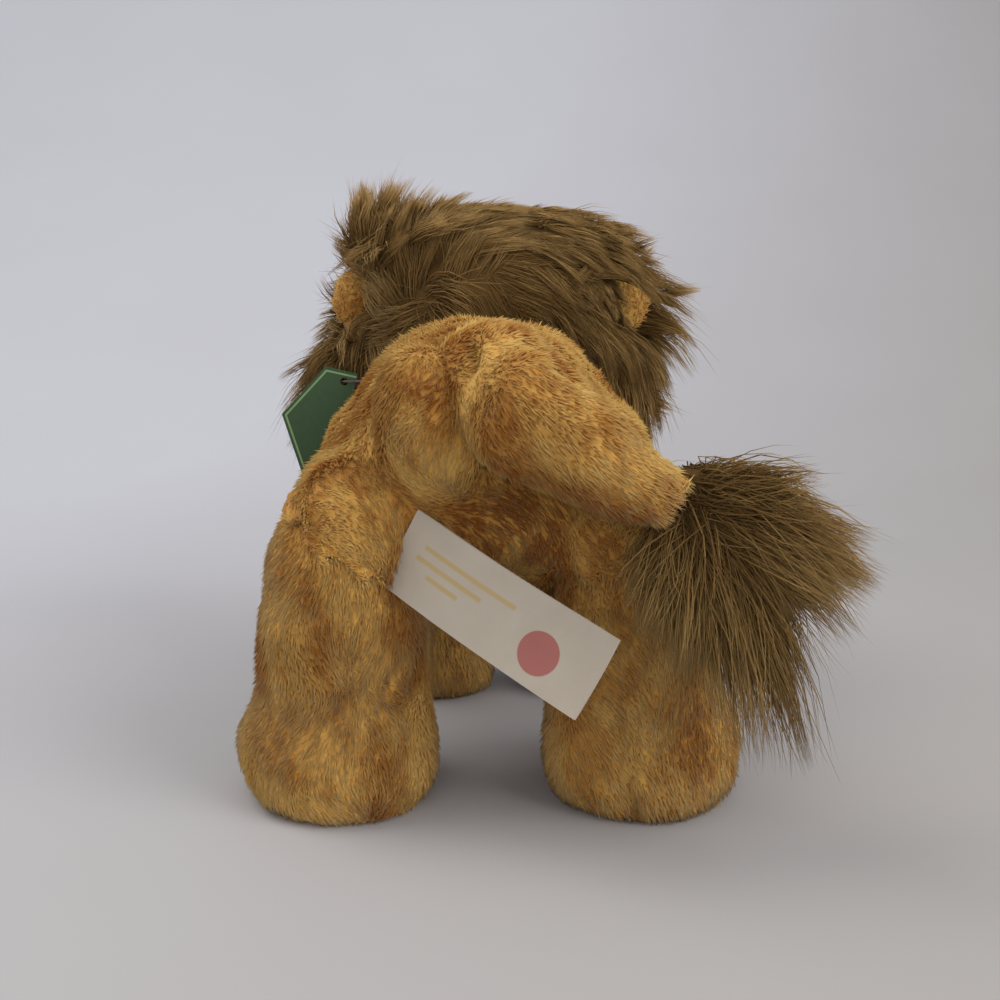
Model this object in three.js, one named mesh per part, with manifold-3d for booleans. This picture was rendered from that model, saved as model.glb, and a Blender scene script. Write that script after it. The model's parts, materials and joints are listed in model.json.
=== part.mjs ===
// A plush lion that stands on its four paws: stuffed covers joined at their seams, a mane and
// a tail tuft of long locks, locked-in eyes, a sewn-in ribbon label and a folded card tag.
// Millimetres. The lion faces -Y, its left side is +X and its soles lie on z = 0.
import * as THREE from 'three';
import { mergeVertices } from 'three/addons/utils/BufferGeometryUtils.js';
import Module from 'manifold-3d';

const wasm = await Module();
wasm.setup();

// Cloth, fits and cutters
const plushWall = 2.5;
const seamGap = 0.35;
const swingGap = 0.8;
const overrun = 6;
const weld = 0.0005;

// Torso
const torsoLength = 181;
const rumpReach = 76;
const torsoHalfWidth = 60;
const backHeight = 152;
const bellyHeight = 58;
const haunchRadius = 33.5;
const haunchHalfAcross = 24;
const haunchRise = 12;
const haunchInset = 4;
const haunchBase = 2;

// Legs: the hip and shoulder balls sit in the torso's flanks
const hipHeight = 74;
const hipSetback = 24;
const hipInset = 15.5;
const hipRadius = 31;
const hipHalfAcross = 24.5;
const hindPawHalfWidth = 31;
const hindPawHalfLength = 36.5;
const hindPawReach = 11;
const hindPawSpread = 6;
const hindToeOut = 25;
const shoulderHeight = 74;
const shoulderSetback = 45;
const shoulderInset = 20;
const shoulderRadius = 25;
const shoulderHalfAcross = 20;
const frontPawHalfWidth = 25;
const frontPawHalfLength = 29;
const frontPawReach = 14;
const frontPawSpread = 0;
const frontToeOut = 8;
const leftFrontLean = -17;
const rightFrontLean = 2;
const legSwing = 15;
const hipMouth = 11;
const shoulderMouth = 8;
const pelletFill = 34;

// Head and face
const headSetback = 20;
const headDrop = 11;
const headRadius = 47;
const headCrown = 45;
const headJaw = 42;
const headTurn = 20;
const neckRadius = 18;
const neckMouth = 9;
const muzzleDrop = 14;
const muzzleReach = 42;
const muzzleHalfWidth = 21;
const muzzleHalfLength = 20;
const muzzleHalfHeight = 15;
const noseWidth = 15;
const noseHeight = 10;
const noseDepth = 5;
const noseRise = 7;
const eyeSpread = 17;
const eyeRise = 9;
const eyeRadius = 5.5;
const eyeDome = 3.4;
const shankRadius = 1.8;
const shankLength = 11;
const washerRadius = 6;
const washerThickness = 1.6;

// Ears
const earRise = 17;
const earRadius = 14.5;
const earDepth = 9;
const earWall = 2.4;
const earLiningWall = 1.2;
const earStandOff = 7;
const earFlop = 20;

// Mane
const maneDepth = 10;
const maneReach = 15;
const maneSeat = 0.8;
const maneLockHalfWidth = 5.6;
const maneLockLength = 27;
const ruffLift = 25;
const ruffPolarAngle = 110;

// Tail and its tuft
const tailDrop = 18;
const tailSetback = 10;
const tailOffset = -2;
const tailRadius = 20.5;
const tailReach = 61.5;
const tailLift = 35;
const tailMouth = 8;
const tuftKnob = 10;
const tuftLockLength = 62;
const tuftLockHalfWidth = 6.2;

// Sewn-in label
const labelLength = 70;
const labelWidth = 25;
const ribbonThickness = 0.5;
const ribbonGap = 0.9;
const labelBow = 3;
const labelTuck = 7;
const labelRise = 13;
const labelOffset = 23;
const labelStandOff = 1.5;
const labelDip = 10;
const labelFlap = 35;

// Folded card tag and its loop
const cardSide = 24.5;
const cardThickness = 0.6;
const cardOpening = 10;
const cardTilt = 13;
const cardHole = 1.5;
const cardMargin = 4;
const tagSetback = 40;
const tagInset = 4.5;
const tagRise = 36.5;
const tagThread = 0.9;
const tagLoopLength = 10.2;
const tagLoopWidth = 4.6;

// How finely the forms are faceted
const bodySides = 18;
const bodyRings = 9;
const coreSides = 12;
const coreRings = 6;
const smallSides = 16;
const smallRings = 8;
const postSides = 10;
const lockSides = 4;
const threadSides = 6;

const xAxis = new THREE.Vector3(1, 0, 0);
const yAxis = new THREE.Vector3(0, 1, 0);
const zAxis = new THREE.Vector3(0, 0, 1);

const materials = {
  plush: new THREE.MeshStandardMaterial({ color: '#8f7038', roughness: 1 }),
  sole: new THREE.MeshStandardMaterial({ color: '#9a7c44', roughness: 1 }),
  pale: new THREE.MeshStandardMaterial({ color: '#cbb48c', roughness: 1 }),
  mane: new THREE.MeshStandardMaterial({ color: '#5a4022', roughness: 1 }),
  wadding: new THREE.MeshStandardMaterial({ color: '#f1efe8', roughness: 1 }),
  pellets: new THREE.MeshStandardMaterial({ color: '#d9dde0', roughness: 0.6 }),
  eye: new THREE.MeshStandardMaterial({ color: '#2a1608', roughness: 0.15 }),
  nose: new THREE.MeshStandardMaterial({ color: '#2b1a12', roughness: 0.5 }),
  washer: new THREE.MeshStandardMaterial({ color: '#e9e7df', roughness: 0.5 }),
  ribbon: new THREE.MeshStandardMaterial({ color: '#e9e2da', roughness: 0.45 }),
  card: new THREE.MeshStandardMaterial({ color: '#35502c', roughness: 0.6 }),
  thread: new THREE.MeshStandardMaterial({ color: '#d8d2c2', roughness: 0.6 }),
};

const at = (x, y, z) => new THREE.Vector3(x, y, z);

// Closed triangles with their faces turned outwards.
function facingOut(points, triangles) {
  let volume = 0;
  for (let i = 0; i < triangles.length; i += 3) {
    const [a, b, c] = triangles.slice(i, i + 3).map((k) => points[k]);
    volume += a.dot(b.clone().cross(c));
  }
  const order = volume > 0 ? [0, 1, 2] : [0, 2, 1];
  const index = triangles.map((_, i) => triangles[i - (i % 3) + order[i % 3]]);
  const geometry = new THREE.BufferGeometry().setFromPoints(points);
  geometry.setIndex(index);
  return geometry;
}

// A skin drawn over rings of equal count and closed by one point at each end.
function loft(rings, firstEnd, lastEnd) {
  const sides = rings[0].length;
  const points = [firstEnd, ...rings.flat(), lastEnd];
  const triangles = [];
  const lastRing = 1 + (rings.length - 1) * sides;
  for (let i = 0; i < sides; i += 1) {
    const next = (i + 1) % sides;
    triangles.push(0, 1 + next, 1 + i);
    triangles.push(points.length - 1, lastRing + i, lastRing + next);
    for (let start = 1; start < lastRing; start += sides) {
      const over = start + sides;
      triangles.push(start + i, start + next, over + next);
      triangles.push(start + i, over + next, over + i);
    }
  }
  return facingOut(points, triangles);
}

const middleOf = (points) =>
  points.reduce((sum, point) => sum.add(point), at(0, 0, 0)).divideScalar(points.length);
const closedLoft = (rings) => loft(rings, middleOf(rings[0]), middleOf(rings.at(-1)));

// A ring of points on an oval; a squareness above 2 fills out its corners.
function ovalRing(centre, across, along, halfAcross, halfAlong, sides, squareness = 2) {
  const bulge = (value) => Math.sign(value) * Math.abs(value) ** (2 / squareness);
  return Array.from({ length: sides }, (_, i) => {
    const angle = (2 * Math.PI * i) / sides;
    const ring = centre.clone().addScaledVector(across, halfAcross * bulge(Math.cos(angle)));
    return ring.addScaledVector(along, halfAlong * bulge(Math.sin(angle)));
  });
}

function solidFrom(geometry) {
  const bare = geometry.clone();
  bare.deleteAttribute('normal');
  bare.deleteAttribute('uv');
  const merged = mergeVertices(bare, weld);
  const triVerts = [];
  const index = merged.index.array;
  for (let i = 0; i < index.length; i += 3) {
    const [a, b, c] = index.slice(i, i + 3);
    if (a !== b && b !== c && c !== a) triVerts.push(a, b, c);
  }
  return new wasm.Manifold(new wasm.Mesh({
    numProp: 3,
    vertProperties: merged.attributes.position.array,
    triVerts: new Uint32Array(triVerts),
  }));
}

function geometryOf(solid) {
  const mesh = solid.getMesh();
  const geometry = new THREE.BufferGeometry();
  geometry.setAttribute('position', new THREE.BufferAttribute(mesh.vertProperties, 3));
  geometry.setIndex(new THREE.BufferAttribute(mesh.triVerts, 1));
  return geometry;
}

function turned(solid, pivot, axis, degrees) {
  const turn = new THREE.Matrix4().makeTranslation(pivot.x, pivot.y, pivot.z);
  turn.multiply(new THREE.Matrix4().makeRotationAxis(axis, THREE.MathUtils.degToRad(degrees)));
  turn.multiply(new THREE.Matrix4().makeTranslation(-pivot.x, -pivot.y, -pivot.z));
  return solidFrom(geometryOf(solid).applyMatrix4(turn));
}

// The room that a neighbour needs, seen from a piece that turns through the given angles.
function swept(solid, pivot, axis, degreesList) {
  return degreesList
    .map((degrees) => turned(solid, pivot, axis, -degrees))
    .reduce((room, copy) => room.add(copy));
}

// The largest body that a cut leaves, without its offcuts.
function mainBody(solid) {
  const bodies = solid.decompose();
  return bodies.reduce((best, body) => (body.volume() > best.volume() ? body : best));
}

const anglesBetween = (from, to, steps) =>
  Array.from({ length: steps + 1 }, (_, i) => from + ((to - from) * i) / steps);

// A ball-like form of revolution about one axis, with its own height above and below.
function egg(centre, axis, radius, above, below, around = bodySides, rings = bodyRings) {
  const geometry = new THREE.SphereGeometry(1, around, rings);
  const place = geometry.attributes.position;
  for (let i = 0; i < place.count; i += 1) {
    const height = place.getY(i) * (place.getY(i) > 0 ? above : below);
    place.setXYZ(i, place.getX(i) * radius, height, place.getZ(i) * radius);
  }
  const turn = new THREE.Quaternion().setFromUnitVectors(yAxis, axis);
  geometry.applyQuaternion(turn).translate(centre.x, centre.y, centre.z);
  return solidFrom(geometry);
}

// A straight round cutter or post from one point to another.
function rod(from, to, radius, sides = postSides) {
  const direction = to.clone().sub(from);
  const geometry = new THREE.CylinderGeometry(radius, radius, direction.length(), sides);
  const turn = new THREE.Quaternion().setFromUnitVectors(yAxis, direction.normalize());
  const middle = from.clone().add(to).multiplyScalar(0.5);
  return solidFrom(geometry.applyQuaternion(turn).translate(middle.x, middle.y, middle.z));
}

function block(low, high) {
  const size = high.clone().sub(low);
  const middle = high.clone().add(low).multiplyScalar(0.5);
  const geometry = new THREE.BoxGeometry(size.x, size.y, size.z);
  return solidFrom(geometry.translate(middle.x, middle.y, middle.z));
}

// A tapering form along a curve; each stop gives a share of the way and a share of the width.
function taperedSweep(curve, reference, halfWidth, halfThickness, stopShares, sides) {
  const rings = stopShares.map(([wayShare, widthShare]) => {
    const ahead = curve.getTangentAt(wayShare);
    const across = ahead.clone().cross(reference).normalize();
    const rise = across.clone().cross(ahead);
    const centre = curve.getPointAt(wayShare);
    return ovalRing(centre, across, rise, halfWidth * widthShare, halfThickness * widthShare, sides);
  });
  return loft(rings, curve.getPointAt(0), curve.getPointAt(1));
}

// Torso: rounded at both ends, a little narrower at the chest.
const chestY = rumpReach - torsoLength;
const torsoMiddle = at(0, rumpReach - torsoLength / 2, (backHeight + bellyHeight) / 2);
const torsoEndRoundness = 2.7;
const chestWidthShare = 0.74;
const torsoSquareness = 2.1;

function torsoEgg(inset, sides = bodySides, ringCount = bodyRings) {
  const halfLength = torsoLength / 2 - inset;
  const halfHeight = (backHeight - bellyHeight) / 2 - inset;
  const rings = [];
  for (let i = 1; i < ringCount; i += 1) {
    const share = -Math.cos((Math.PI * i) / ringCount);
    const round = (1 - Math.abs(share) ** torsoEndRoundness) ** (1 / torsoEndRoundness);
    const widthShare = THREE.MathUtils.lerp(chestWidthShare, 1, Math.sqrt((1 + share) / 2));
    const centre = torsoMiddle.clone().addScaledVector(yAxis, share * halfLength);
    const halfWidth = (torsoHalfWidth * widthShare - inset) * round;
    rings.push(ovalRing(centre, xAxis, zAxis, halfWidth, halfHeight * round, sides, torsoSquareness));
  }
  const chest = torsoMiddle.clone().addScaledVector(yAxis, -halfLength);
  const rump = torsoMiddle.clone().addScaledVector(yAxis, halfLength);
  return solidFrom(loft(rings, chest, rump));
}

// Head, neck and the room that the mane fills, all round about the neck's upright axis.
const headCentre = at(0, chestY + headSetback, backHeight - headDrop);
const neckFoot = headCentre.clone().addScaledVector(zAxis, -headJaw - maneReach - overrun / 2);
const neckTop = headCentre.clone().addScaledVector(zAxis, -headJaw + overrun * 2);

const headEgg = (inset, sides = smallSides, rings = smallRings) => egg(
  headCentre, zAxis, headRadius - inset, headCrown - inset, headJaw - inset, sides, rings);
const maneRoom = (inset) => headEgg(inset - maneReach);

// Legs: each is a ball in its socket, a column below it and a paw that turns outwards.
const legSquareness = 2.2;
// Shares of the hip's height, the paw's half width and half length, its reach and its turn.
const legRowShares = [
  [0, 0.81, 0.8, 1, 1],
  [0.05, 0.94, 0.92, 1, 1],
  [0.16, 1, 1, 1, 1],
  [0.29, 0.985, 0.97, 0.95, 1],
  [0.42, 0.9, 0.83, 0.6, 0.8],
  [0.6, 0.86, 0.79, 0.12, 0.2],
  [0.85, 0.85, 0.83, 0, 0],
  [1, 0.78, 0.78, 0, 0],
];

const hindLeg = (side) => ({
  side,
  pivot: at(side * (torsoHalfWidth - hipInset), rumpReach - hipSetback, hipHeight),
  radius: hipRadius,
  halfAcross: hipHalfAcross,
  pawHalfWidth: hindPawHalfWidth,
  pawHalfLength: hindPawHalfLength,
  reach: hindPawReach,
  spread: hindPawSpread,
  toeOut: hindToeOut,
  lean: 0,
  mouth: hipMouth,
});
const frontLeg = (side, lean) => ({
  side,
  pivot: at(side * (torsoHalfWidth - shoulderInset), chestY + shoulderSetback, shoulderHeight),
  radius: shoulderRadius,
  halfAcross: shoulderHalfAcross,
  pawHalfWidth: frontPawHalfWidth,
  pawHalfLength: frontPawHalfLength,
  reach: frontPawReach,
  spread: frontPawSpread,
  toeOut: frontToeOut,
  lean,
  mouth: shoulderMouth,
});
const legs = {
  left_hind: hindLeg(1),
  right_hind: hindLeg(-1),
  left_front: frontLeg(1, leftFrontLean),
  right_front: frontLeg(-1, -rightFrontLean),
};

function legBall(leg, inset, sides) {
  const around = Math.min(sides, smallSides);
  const halfAcross = leg.halfAcross - inset;
  return egg(leg.pivot, xAxis, leg.radius - inset, halfAcross, halfAcross, around, around / 2);
}

function legRing(leg, row, z, inset, sides) {
  const [heightShare, acrossShare, alongShare, reachShare, turnShare] = row;
  const toe = THREE.MathUtils.degToRad(leg.toeOut * turnShare);
  const forward = at(leg.side * Math.sin(toe), -Math.cos(toe), 0);
  const across = at(Math.cos(toe), leg.side * Math.sin(toe), 0);
  const shift = leg.side * leg.spread * reachShare + leg.lean * (1 - heightShare);
  const centre = at(leg.pivot.x + shift, leg.pivot.y - leg.reach * reachShare, z);
  const halfAcross = leg.pawHalfWidth * acrossShare - inset;
  const halfAlong = leg.pawHalfLength * alongShare - inset;
  return ovalRing(centre, across, forward, halfAcross, halfAlong, sides, legSquareness);
}

// The column with its paw. A core's column starts below the floor, so it opens the sole.
function legColumn(leg, inset, sides) {
  const rings = legRowShares.map((row) => legRing(leg, row, leg.pivot.z * row[0], inset, sides));
  if (inset > 0) rings.unshift(legRing(leg, legRowShares[0], -overrun, inset, sides));
  return solidFrom(closedLoft(rings));
}

const legAngles = anglesBetween(-legSwing, legSwing, 2);

// A coarse torso, let out by what its flat facets take off, for the room that it needs.
const facetLoss = torsoHalfWidth * (1 - Math.cos(Math.PI / coreSides));
const torsoRoomy = (inset) => torsoEgg(inset - swingGap - facetLoss, coreSides, coreRings + 2);

function legForm(leg, inset, sides = bodySides) {
  const torsoRoom = swept(torsoRoomy(-inset), leg.pivot, xAxis, legAngles);
  const maneRoomRound = swept(maneRoom(-swingGap - inset), leg.pivot, xAxis, legAngles);
  const column = legColumn(leg, inset, Math.min(sides, smallSides)).subtract(torsoRoom);
  return mainBody(legBall(leg, inset, sides).add(column).subtract(maneRoomRound));
}

// Tail: a ball in the rump and a thick tube that curls up, over and down to the right.
const tailRoot = at(tailOffset, rumpReach - tailSetback, backHeight - tailDrop);
const tailPathShares = [
  [0, 0, 0],
  [-0.13, 0.293, -0.033],
  [-0.423, 0.423, -0.187],
  [-0.65, 0.423, -0.35],
  [-0.846, 0.374, -0.463],
];
const tailStopShares = [
  [0.02, 0.97],
  [0.33, 1],
  [0.6, 0.87],
  [0.78, 0.68],
  [0.9, 0.5],
  [0.97, 0.36],
];
const tailCurve = new THREE.CatmullRomCurve3(tailPathShares.map(([x, y, z]) =>
  tailRoot.clone().add(at(x, y, z).multiplyScalar(tailReach))));
const tailAngles = anglesBetween(0, tailLift, 2);

function tailBall(inset, sides) {
  const around = Math.min(sides, smallSides);
  const radius = tailRadius - inset;
  return egg(tailRoot, yAxis, radius, radius, radius, around, around / 2);
}

function tailForm(inset, sides = smallSides) {
  const radius = tailRadius - inset;
  const tube = solidFrom(taperedSweep(tailCurve, yAxis, radius, radius, tailStopShares, sides));
  const torsoRoom = swept(torsoRoomy(-inset), tailRoot, yAxis, tailAngles);
  return mainBody(tailBall(inset, sides).add(tube.subtract(torsoRoom)));
}

// The trunk with a full haunch over each hip, which ends above the swing of the leg's column.
const farOut = torsoLength + torsoHalfWidth;
const slab = (low, high) => block(at(-farOut, -farOut, low), at(farOut, farOut, high));
function trunkForm(inset, sides = bodySides, rings = bodyRings) {
  let form = torsoEgg(inset, sides, rings);
  for (const leg of [legs.left_hind, legs.right_hind]) {
    const centre = leg.pivot.clone().add(at(-leg.side * haunchInset, 0, haunchRise));
    const half = haunchHalfAcross - inset;
    const haunch = egg(centre, xAxis, haunchRadius - inset, half, half, coreSides, coreRings);
    form = form.add(haunch.intersect(slab(leg.pivot.z + haunchBase + inset, backHeight)));
  }
  return form;
}

// Torso cut by the mane's room, the leg balls and the tail ball, with the neck standing in it.
function torsoForm(inset, sides = bodySides, rings = bodyRings) {
  const gap = -swingGap - inset;
  const trunk = trunkForm(inset, sides, rings);
  const post = rod(neckFoot, neckTop, neckRadius - inset, smallSides).intersect(trunk);
  let form = trunk.subtract(maneRoom(gap)).add(post.subtract(headEgg(gap, sides, rings)));
  for (const leg of Object.values(legs)) form = form.subtract(legBall(leg, gap, sides));
  return mainBody(form.subtract(tailBall(gap, sides)));
}

const lion = new THREE.Group();

function addPiece(name, solid, material) {
  const mesh = new THREE.Mesh(geometryOf(solid), material);
  mesh.name = name;
  lion.add(mesh);
}

// A cover keeps the cloth's thickness round its cavity; the filling lies a seam gap inside it.
const fillingInset = plushWall + seamGap;
const neckOpening = rod(neckFoot, neckTop, neckMouth);
const torsoCavity = torsoForm(plushWall, coreSides, coreRings).add(neckOpening);
addPiece('torso_cover', mainBody(torsoForm(0).subtract(torsoCavity)), materials.plush);
addPiece('torso_wadding', torsoForm(fillingInset, coreSides, coreRings), materials.wadding);

for (const [place, leg] of Object.entries(legs)) {
  const middle = leg.pivot.clone();
  const inwards = leg.pivot.clone().addScaledVector(xAxis, -leg.side * (leg.halfAcross + overrun));
  const cavity = legForm(leg, plushWall, coreSides).add(rod(middle, inwards, leg.mouth));
  addPiece(`${place}_leg_cover`, mainBody(legForm(leg, 0).subtract(cavity)), materials.plush);

  const soleRings = [0, plushWall].map((z) => legRing(leg, legRowShares[0], z, fillingInset, coreSides));
  addPiece(`${place}_sole`, solidFrom(closedLoft(soleRings)), materials.sole);

  const filling = legForm(leg, fillingInset, coreSides);
  const pellets = filling.intersect(slab(plushWall + seamGap, pelletFill));
  addPiece(`${place}_pellet_bag`, mainBody(pellets), materials.pellets);
  const wadding = filling.intersect(slab(pelletFill + seamGap, backHeight));
  addPiece(`${place}_wadding`, mainBody(wadding), materials.wadding);
}

// Face: eyes on shanks that pass through the cover and are locked by washers inside it.
const eyes = { left: 1, right: -1 };
const eyeFrames = Object.fromEntries(Object.entries(eyes).map(([side, sign]) => {
  const levelRadius = headRadius * Math.sqrt(1 - (eyeRise / headCrown) ** 2);
  const depth = Math.sqrt(levelRadius ** 2 - eyeSpread ** 2);
  const seat = headCentre.clone().add(at(sign * eyeSpread, -depth, eyeRise));
  const out = at(
    (sign * eyeSpread) / headRadius ** 2, -depth / headRadius ** 2, eyeRise / headCrown ** 2);
  return [side, { seat, out: out.normalize() }];
}));
const alongOut = ({ seat, out }, distance) => seat.clone().addScaledVector(out, distance);

const headOpening = rod(neckFoot, headCentre, neckMouth);
let headCover = headEgg(0).subtract(headEgg(plushWall).add(headOpening));
let headWadding = headEgg(fillingInset);
const shankBore = (frame) =>
  rod(alongOut(frame, overrun), alongOut(frame, -shankLength), shankRadius + seamGap);
for (const frame of Object.values(eyeFrames)) {
  const pocket = rod(
    alongOut(frame, 0), alongOut(frame, -shankLength - seamGap), washerRadius + seamGap);
  headCover = headCover.subtract(shankBore(frame));
  headWadding = headWadding.subtract(pocket);
}
addPiece('head_cover', mainBody(headCover), materials.plush);
addPiece('head_wadding', mainBody(headWadding), materials.wadding);

for (const [side, frame] of Object.entries(eyeFrames)) {
  const dome = egg(alongOut(frame, seamGap), frame.out, eyeRadius, eyeDome, eyeDome, coreSides, coreRings);
  const shank = rod(alongOut(frame, 0), alongOut(frame, -shankLength), shankRadius);
  addPiece(`${side}_eye`, dome.subtract(headEgg(-seamGap)).add(shank), materials.eye);
  const washerSeat = plushWall * 2;
  const washer = rod(
    alongOut(frame, -washerSeat), alongOut(frame, -washerSeat - washerThickness), washerRadius);
  addPiece(`${side}_eye_washer`, washer.subtract(shankBore(frame)), materials.washer);
}

// Muzzle pad on the face, with the nose at its upper front.
const muzzleCentre = headCentre.clone().add(at(0, -muzzleReach, -muzzleDrop));
function muzzleEgg(inset) {
  const geometry = new THREE.SphereGeometry(1, coreSides + 4, coreRings + 2);
  geometry.scale(muzzleHalfWidth - inset, muzzleHalfLength - inset, muzzleHalfHeight - inset);
  return solidFrom(geometry.translate(muzzleCentre.x, muzzleCentre.y, muzzleCentre.z));
}
addPiece('muzzle', mainBody(muzzleEgg(0).subtract(headEgg(-seamGap))), materials.pale);

// A soft triangle: the outline narrows towards its lower point.
function noseRing(depthShare, sizeShare) {
  const y = muzzleCentre.y - muzzleHalfLength + noseDepth * (0.5 - depthShare);
  return Array.from({ length: coreSides }, (_, i) => {
    const angle = (2 * Math.PI * i) / coreSides;
    const narrowing = 0.7 + 0.3 * Math.sin(angle);
    const x = (noseWidth / 2) * sizeShare * Math.cos(angle) * narrowing;
    return at(x, y, muzzleCentre.z + noseRise + (noseHeight / 2) * sizeShare * Math.sin(angle));
  });
}
const noseStopShares = [
  [-0.6, 0.9],
  [0.1, 1],
  [0.38, 0.85],
  [0.5, 0.5],
];
const noseEnd = (depthShare) => noseRing(depthShare, 0)[0];
const nose = loft(
  noseStopShares.map(([depthShare, sizeShare]) => noseRing(depthShare, sizeShare)),
  noseEnd(-0.6),
  noseEnd(0.54));
addPiece('nose', mainBody(solidFrom(nose).subtract(muzzleEgg(-seamGap))), materials.nose);

// Ears: a plush bowl and a thinner lining in it, open to the front, hinged at the head's side.
const earAngles = anglesBetween(-earFlop, earFlop, 4);
const earBaseX = headRadius * Math.sqrt(1 - (earRise / headCrown) ** 2);
const ears = Object.fromEntries(Object.entries(eyes).map(([side, sign]) => {
  const pivot = headCentre.clone().add(at(sign * earBaseX, 0, earRise));
  return [side, { pivot, centre: pivot.clone().addScaledVector(xAxis, sign * earStandOff) }];
}));
const earEgg = (ear, inset) => egg(
  ear.centre, yAxis, earRadius - inset, earDepth - inset, earDepth / 3, coreSides, coreRings);

for (const [side, ear] of Object.entries(ears)) {
  const headRoom = swept(headEgg(-swingGap), ear.pivot, zAxis, earAngles);
  const span = earRadius * 2;
  const front = block(
    ear.centre.clone().add(at(-span, -span, -span)), ear.centre.clone().add(at(span, 0, span)));
  const bowl = (inset, wall) => mainBody(
    earEgg(ear, inset).subtract(front).subtract(earEgg(ear, inset + wall)).subtract(headRoom));
  addPiece(`${side}_ear`, bowl(0, earWall), materials.plush);
  addPiece(`${side}_ear_lining`, bowl(earWall + seamGap, earLiningWall), materials.pale);
}

// Mane: panels of long pile round the head. A place on the head is a polar angle from the back
// of the head and a turn about that axis, from the left side over the crown.
function outwards(polar, turn) {
  const [p, t] = [polar, turn].map(THREE.MathUtils.degToRad);
  return at(Math.sin(p) * Math.cos(t), Math.cos(p), Math.sin(p) * Math.sin(t));
}
function onHead(direction, rise) {
  const height = (direction.z > 0 ? headCrown : headJaw) + rise;
  const level = Math.hypot(direction.x, direction.y) / (headRadius + rise);
  const distance = 1 / Math.hypot(level, direction.z / height);
  return headCentre.clone().addScaledVector(direction, distance);
}

// A curved panel between two polar angles and two turns, as thick as the mane's underpile.
function manePanel(polars, turns, depth = maneDepth) {
  const row = (rise) => turns.map((turn) => polars.map((polar) => onHead(outwards(polar, turn), rise)));
  const layers = [row(maneSeat + depth), row(maneSeat)];
  const points = layers.flat(2);
  const count = polars.length;
  const below = turns.length * count;
  const triangles = [];
  const quad = (a, b, c, d) => triangles.push(a, b, c, a, c, d);
  for (let i = 0; i < turns.length - 1; i += 1) {
    for (let j = 0; j < count - 1; j += 1) {
      const corner = i * count + j;
      quad(corner, corner + count, corner + count + 1, corner + 1);
      quad(below + corner, below + corner + 1, below + corner + count + 1, below + corner + count);
    }
    const [here, next, last] = [i * count, (i + 1) * count, count - 1];
    quad(next, here, below + here, below + next);
    quad(here + last, next + last, below + next + last, below + here + last);
  }
  for (let j = 0; j < count - 1; j += 1) {
    const end = (turns.length - 1) * count + j;
    quad(j, j + 1, below + j + 1, below + j);
    quad(end + 1, end, below + end, below + end + 1);
  }
  return solidFrom(facingOut(points, triangles));
}

// A lock leaves the panel, rises over it and lies down along its fall, narrowing to a point.
const lockStopShares = [
  [0.05, 0.9],
  [0.42, 1],
  [0.8, 0.5],
];
function maneLock({ polar, turn, fall, lift, lengthShare, widthShare = 1 }) {
  const out = outwards(polar, turn);
  const lie = fall.clone().projectOnPlane(out).normalize();
  const reach = maneLockLength * lengthShare;
  const along = (wayShare) => out.clone().multiplyScalar(headRadius)
    .addScaledVector(lie, reach * wayShare).normalize();
  const curve = new THREE.QuadraticBezierCurve3(
    onHead(out, maneSeat + maneDepth * 0.4),
    onHead(along(0.4), maneDepth + lift * 0.8),
    onHead(along(1), maneDepth + lift));
  const width = maneLockHalfWidth * widthShare;
  return solidFrom(taperedSweep(curve, out, width, width * 0.5, lockStopShares, lockSides));
}

const panelCut = (seamGap / headRadius) * THREE.MathUtils.RAD2DEG;
const fullTurnAngle = 360;
const napePolarAngle = 50;
const facePolarAngle = 124;
const panelStepAngle = 15;
const leftSeamAngle = -40;
const crownSeamAngle = 38;
const rightSeamAngle = 142;
const bibSeamAngle = 220;
const ringPolars = anglesBetween(napePolarAngle + panelCut, facePolarAngle, 5);
const panelTurns = (from, to) =>
  anglesBetween(from + panelCut, to - panelCut, Math.round((to - from) / panelStepAngle));

// Low locks stay within the mane's room, which the torso leaves free; the tips stand clear of it.
const lowLift = maneReach * 0.1;
const maneLocks = { left: [], right: [], crown: [], bib: [], nape: [] };
const addLocks = (panel, polar, turnList, lift, lengthShare, fallOf) => {
  for (const turn of turnList) {
    maneLocks[panel].push({ polar, turn, lift, lengthShare, fall: fallOf(outwards(polar, turn)) });
  }
};
const outAndBack = (out) => at(out.x * 1.6, 0.5, out.z * 0.2);
const outAndDown = (out) => at(out.x * 0.8, 0.35, -1);
const downwards = (out) => at(out.x * 0.5, 0, -1);
addLocks('crown', 66, anglesBetween(58, 122, 2), maneReach * 0.3, 0.7, outAndBack);
addLocks('crown', 86, anglesBetween(70, 110, 1), maneReach * 0.45, 0.8, outAndBack);
for (const [side, sign] of Object.entries(eyes)) {
  const mirrored = (turns) => turns.map((turn) => (sign > 0 ? turn : 180 - turn));
  addLocks(side, 66, mirrored([-28, -8, 12]), lowLift, 0.75, outAndDown);
}
addLocks('nape', 14, [60, 180, 300], lowLift, 0.7, downwards);
addLocks('nape', 34, anglesBetween(0, 300, 5), lowLift, 0.75, downwards);

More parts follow.
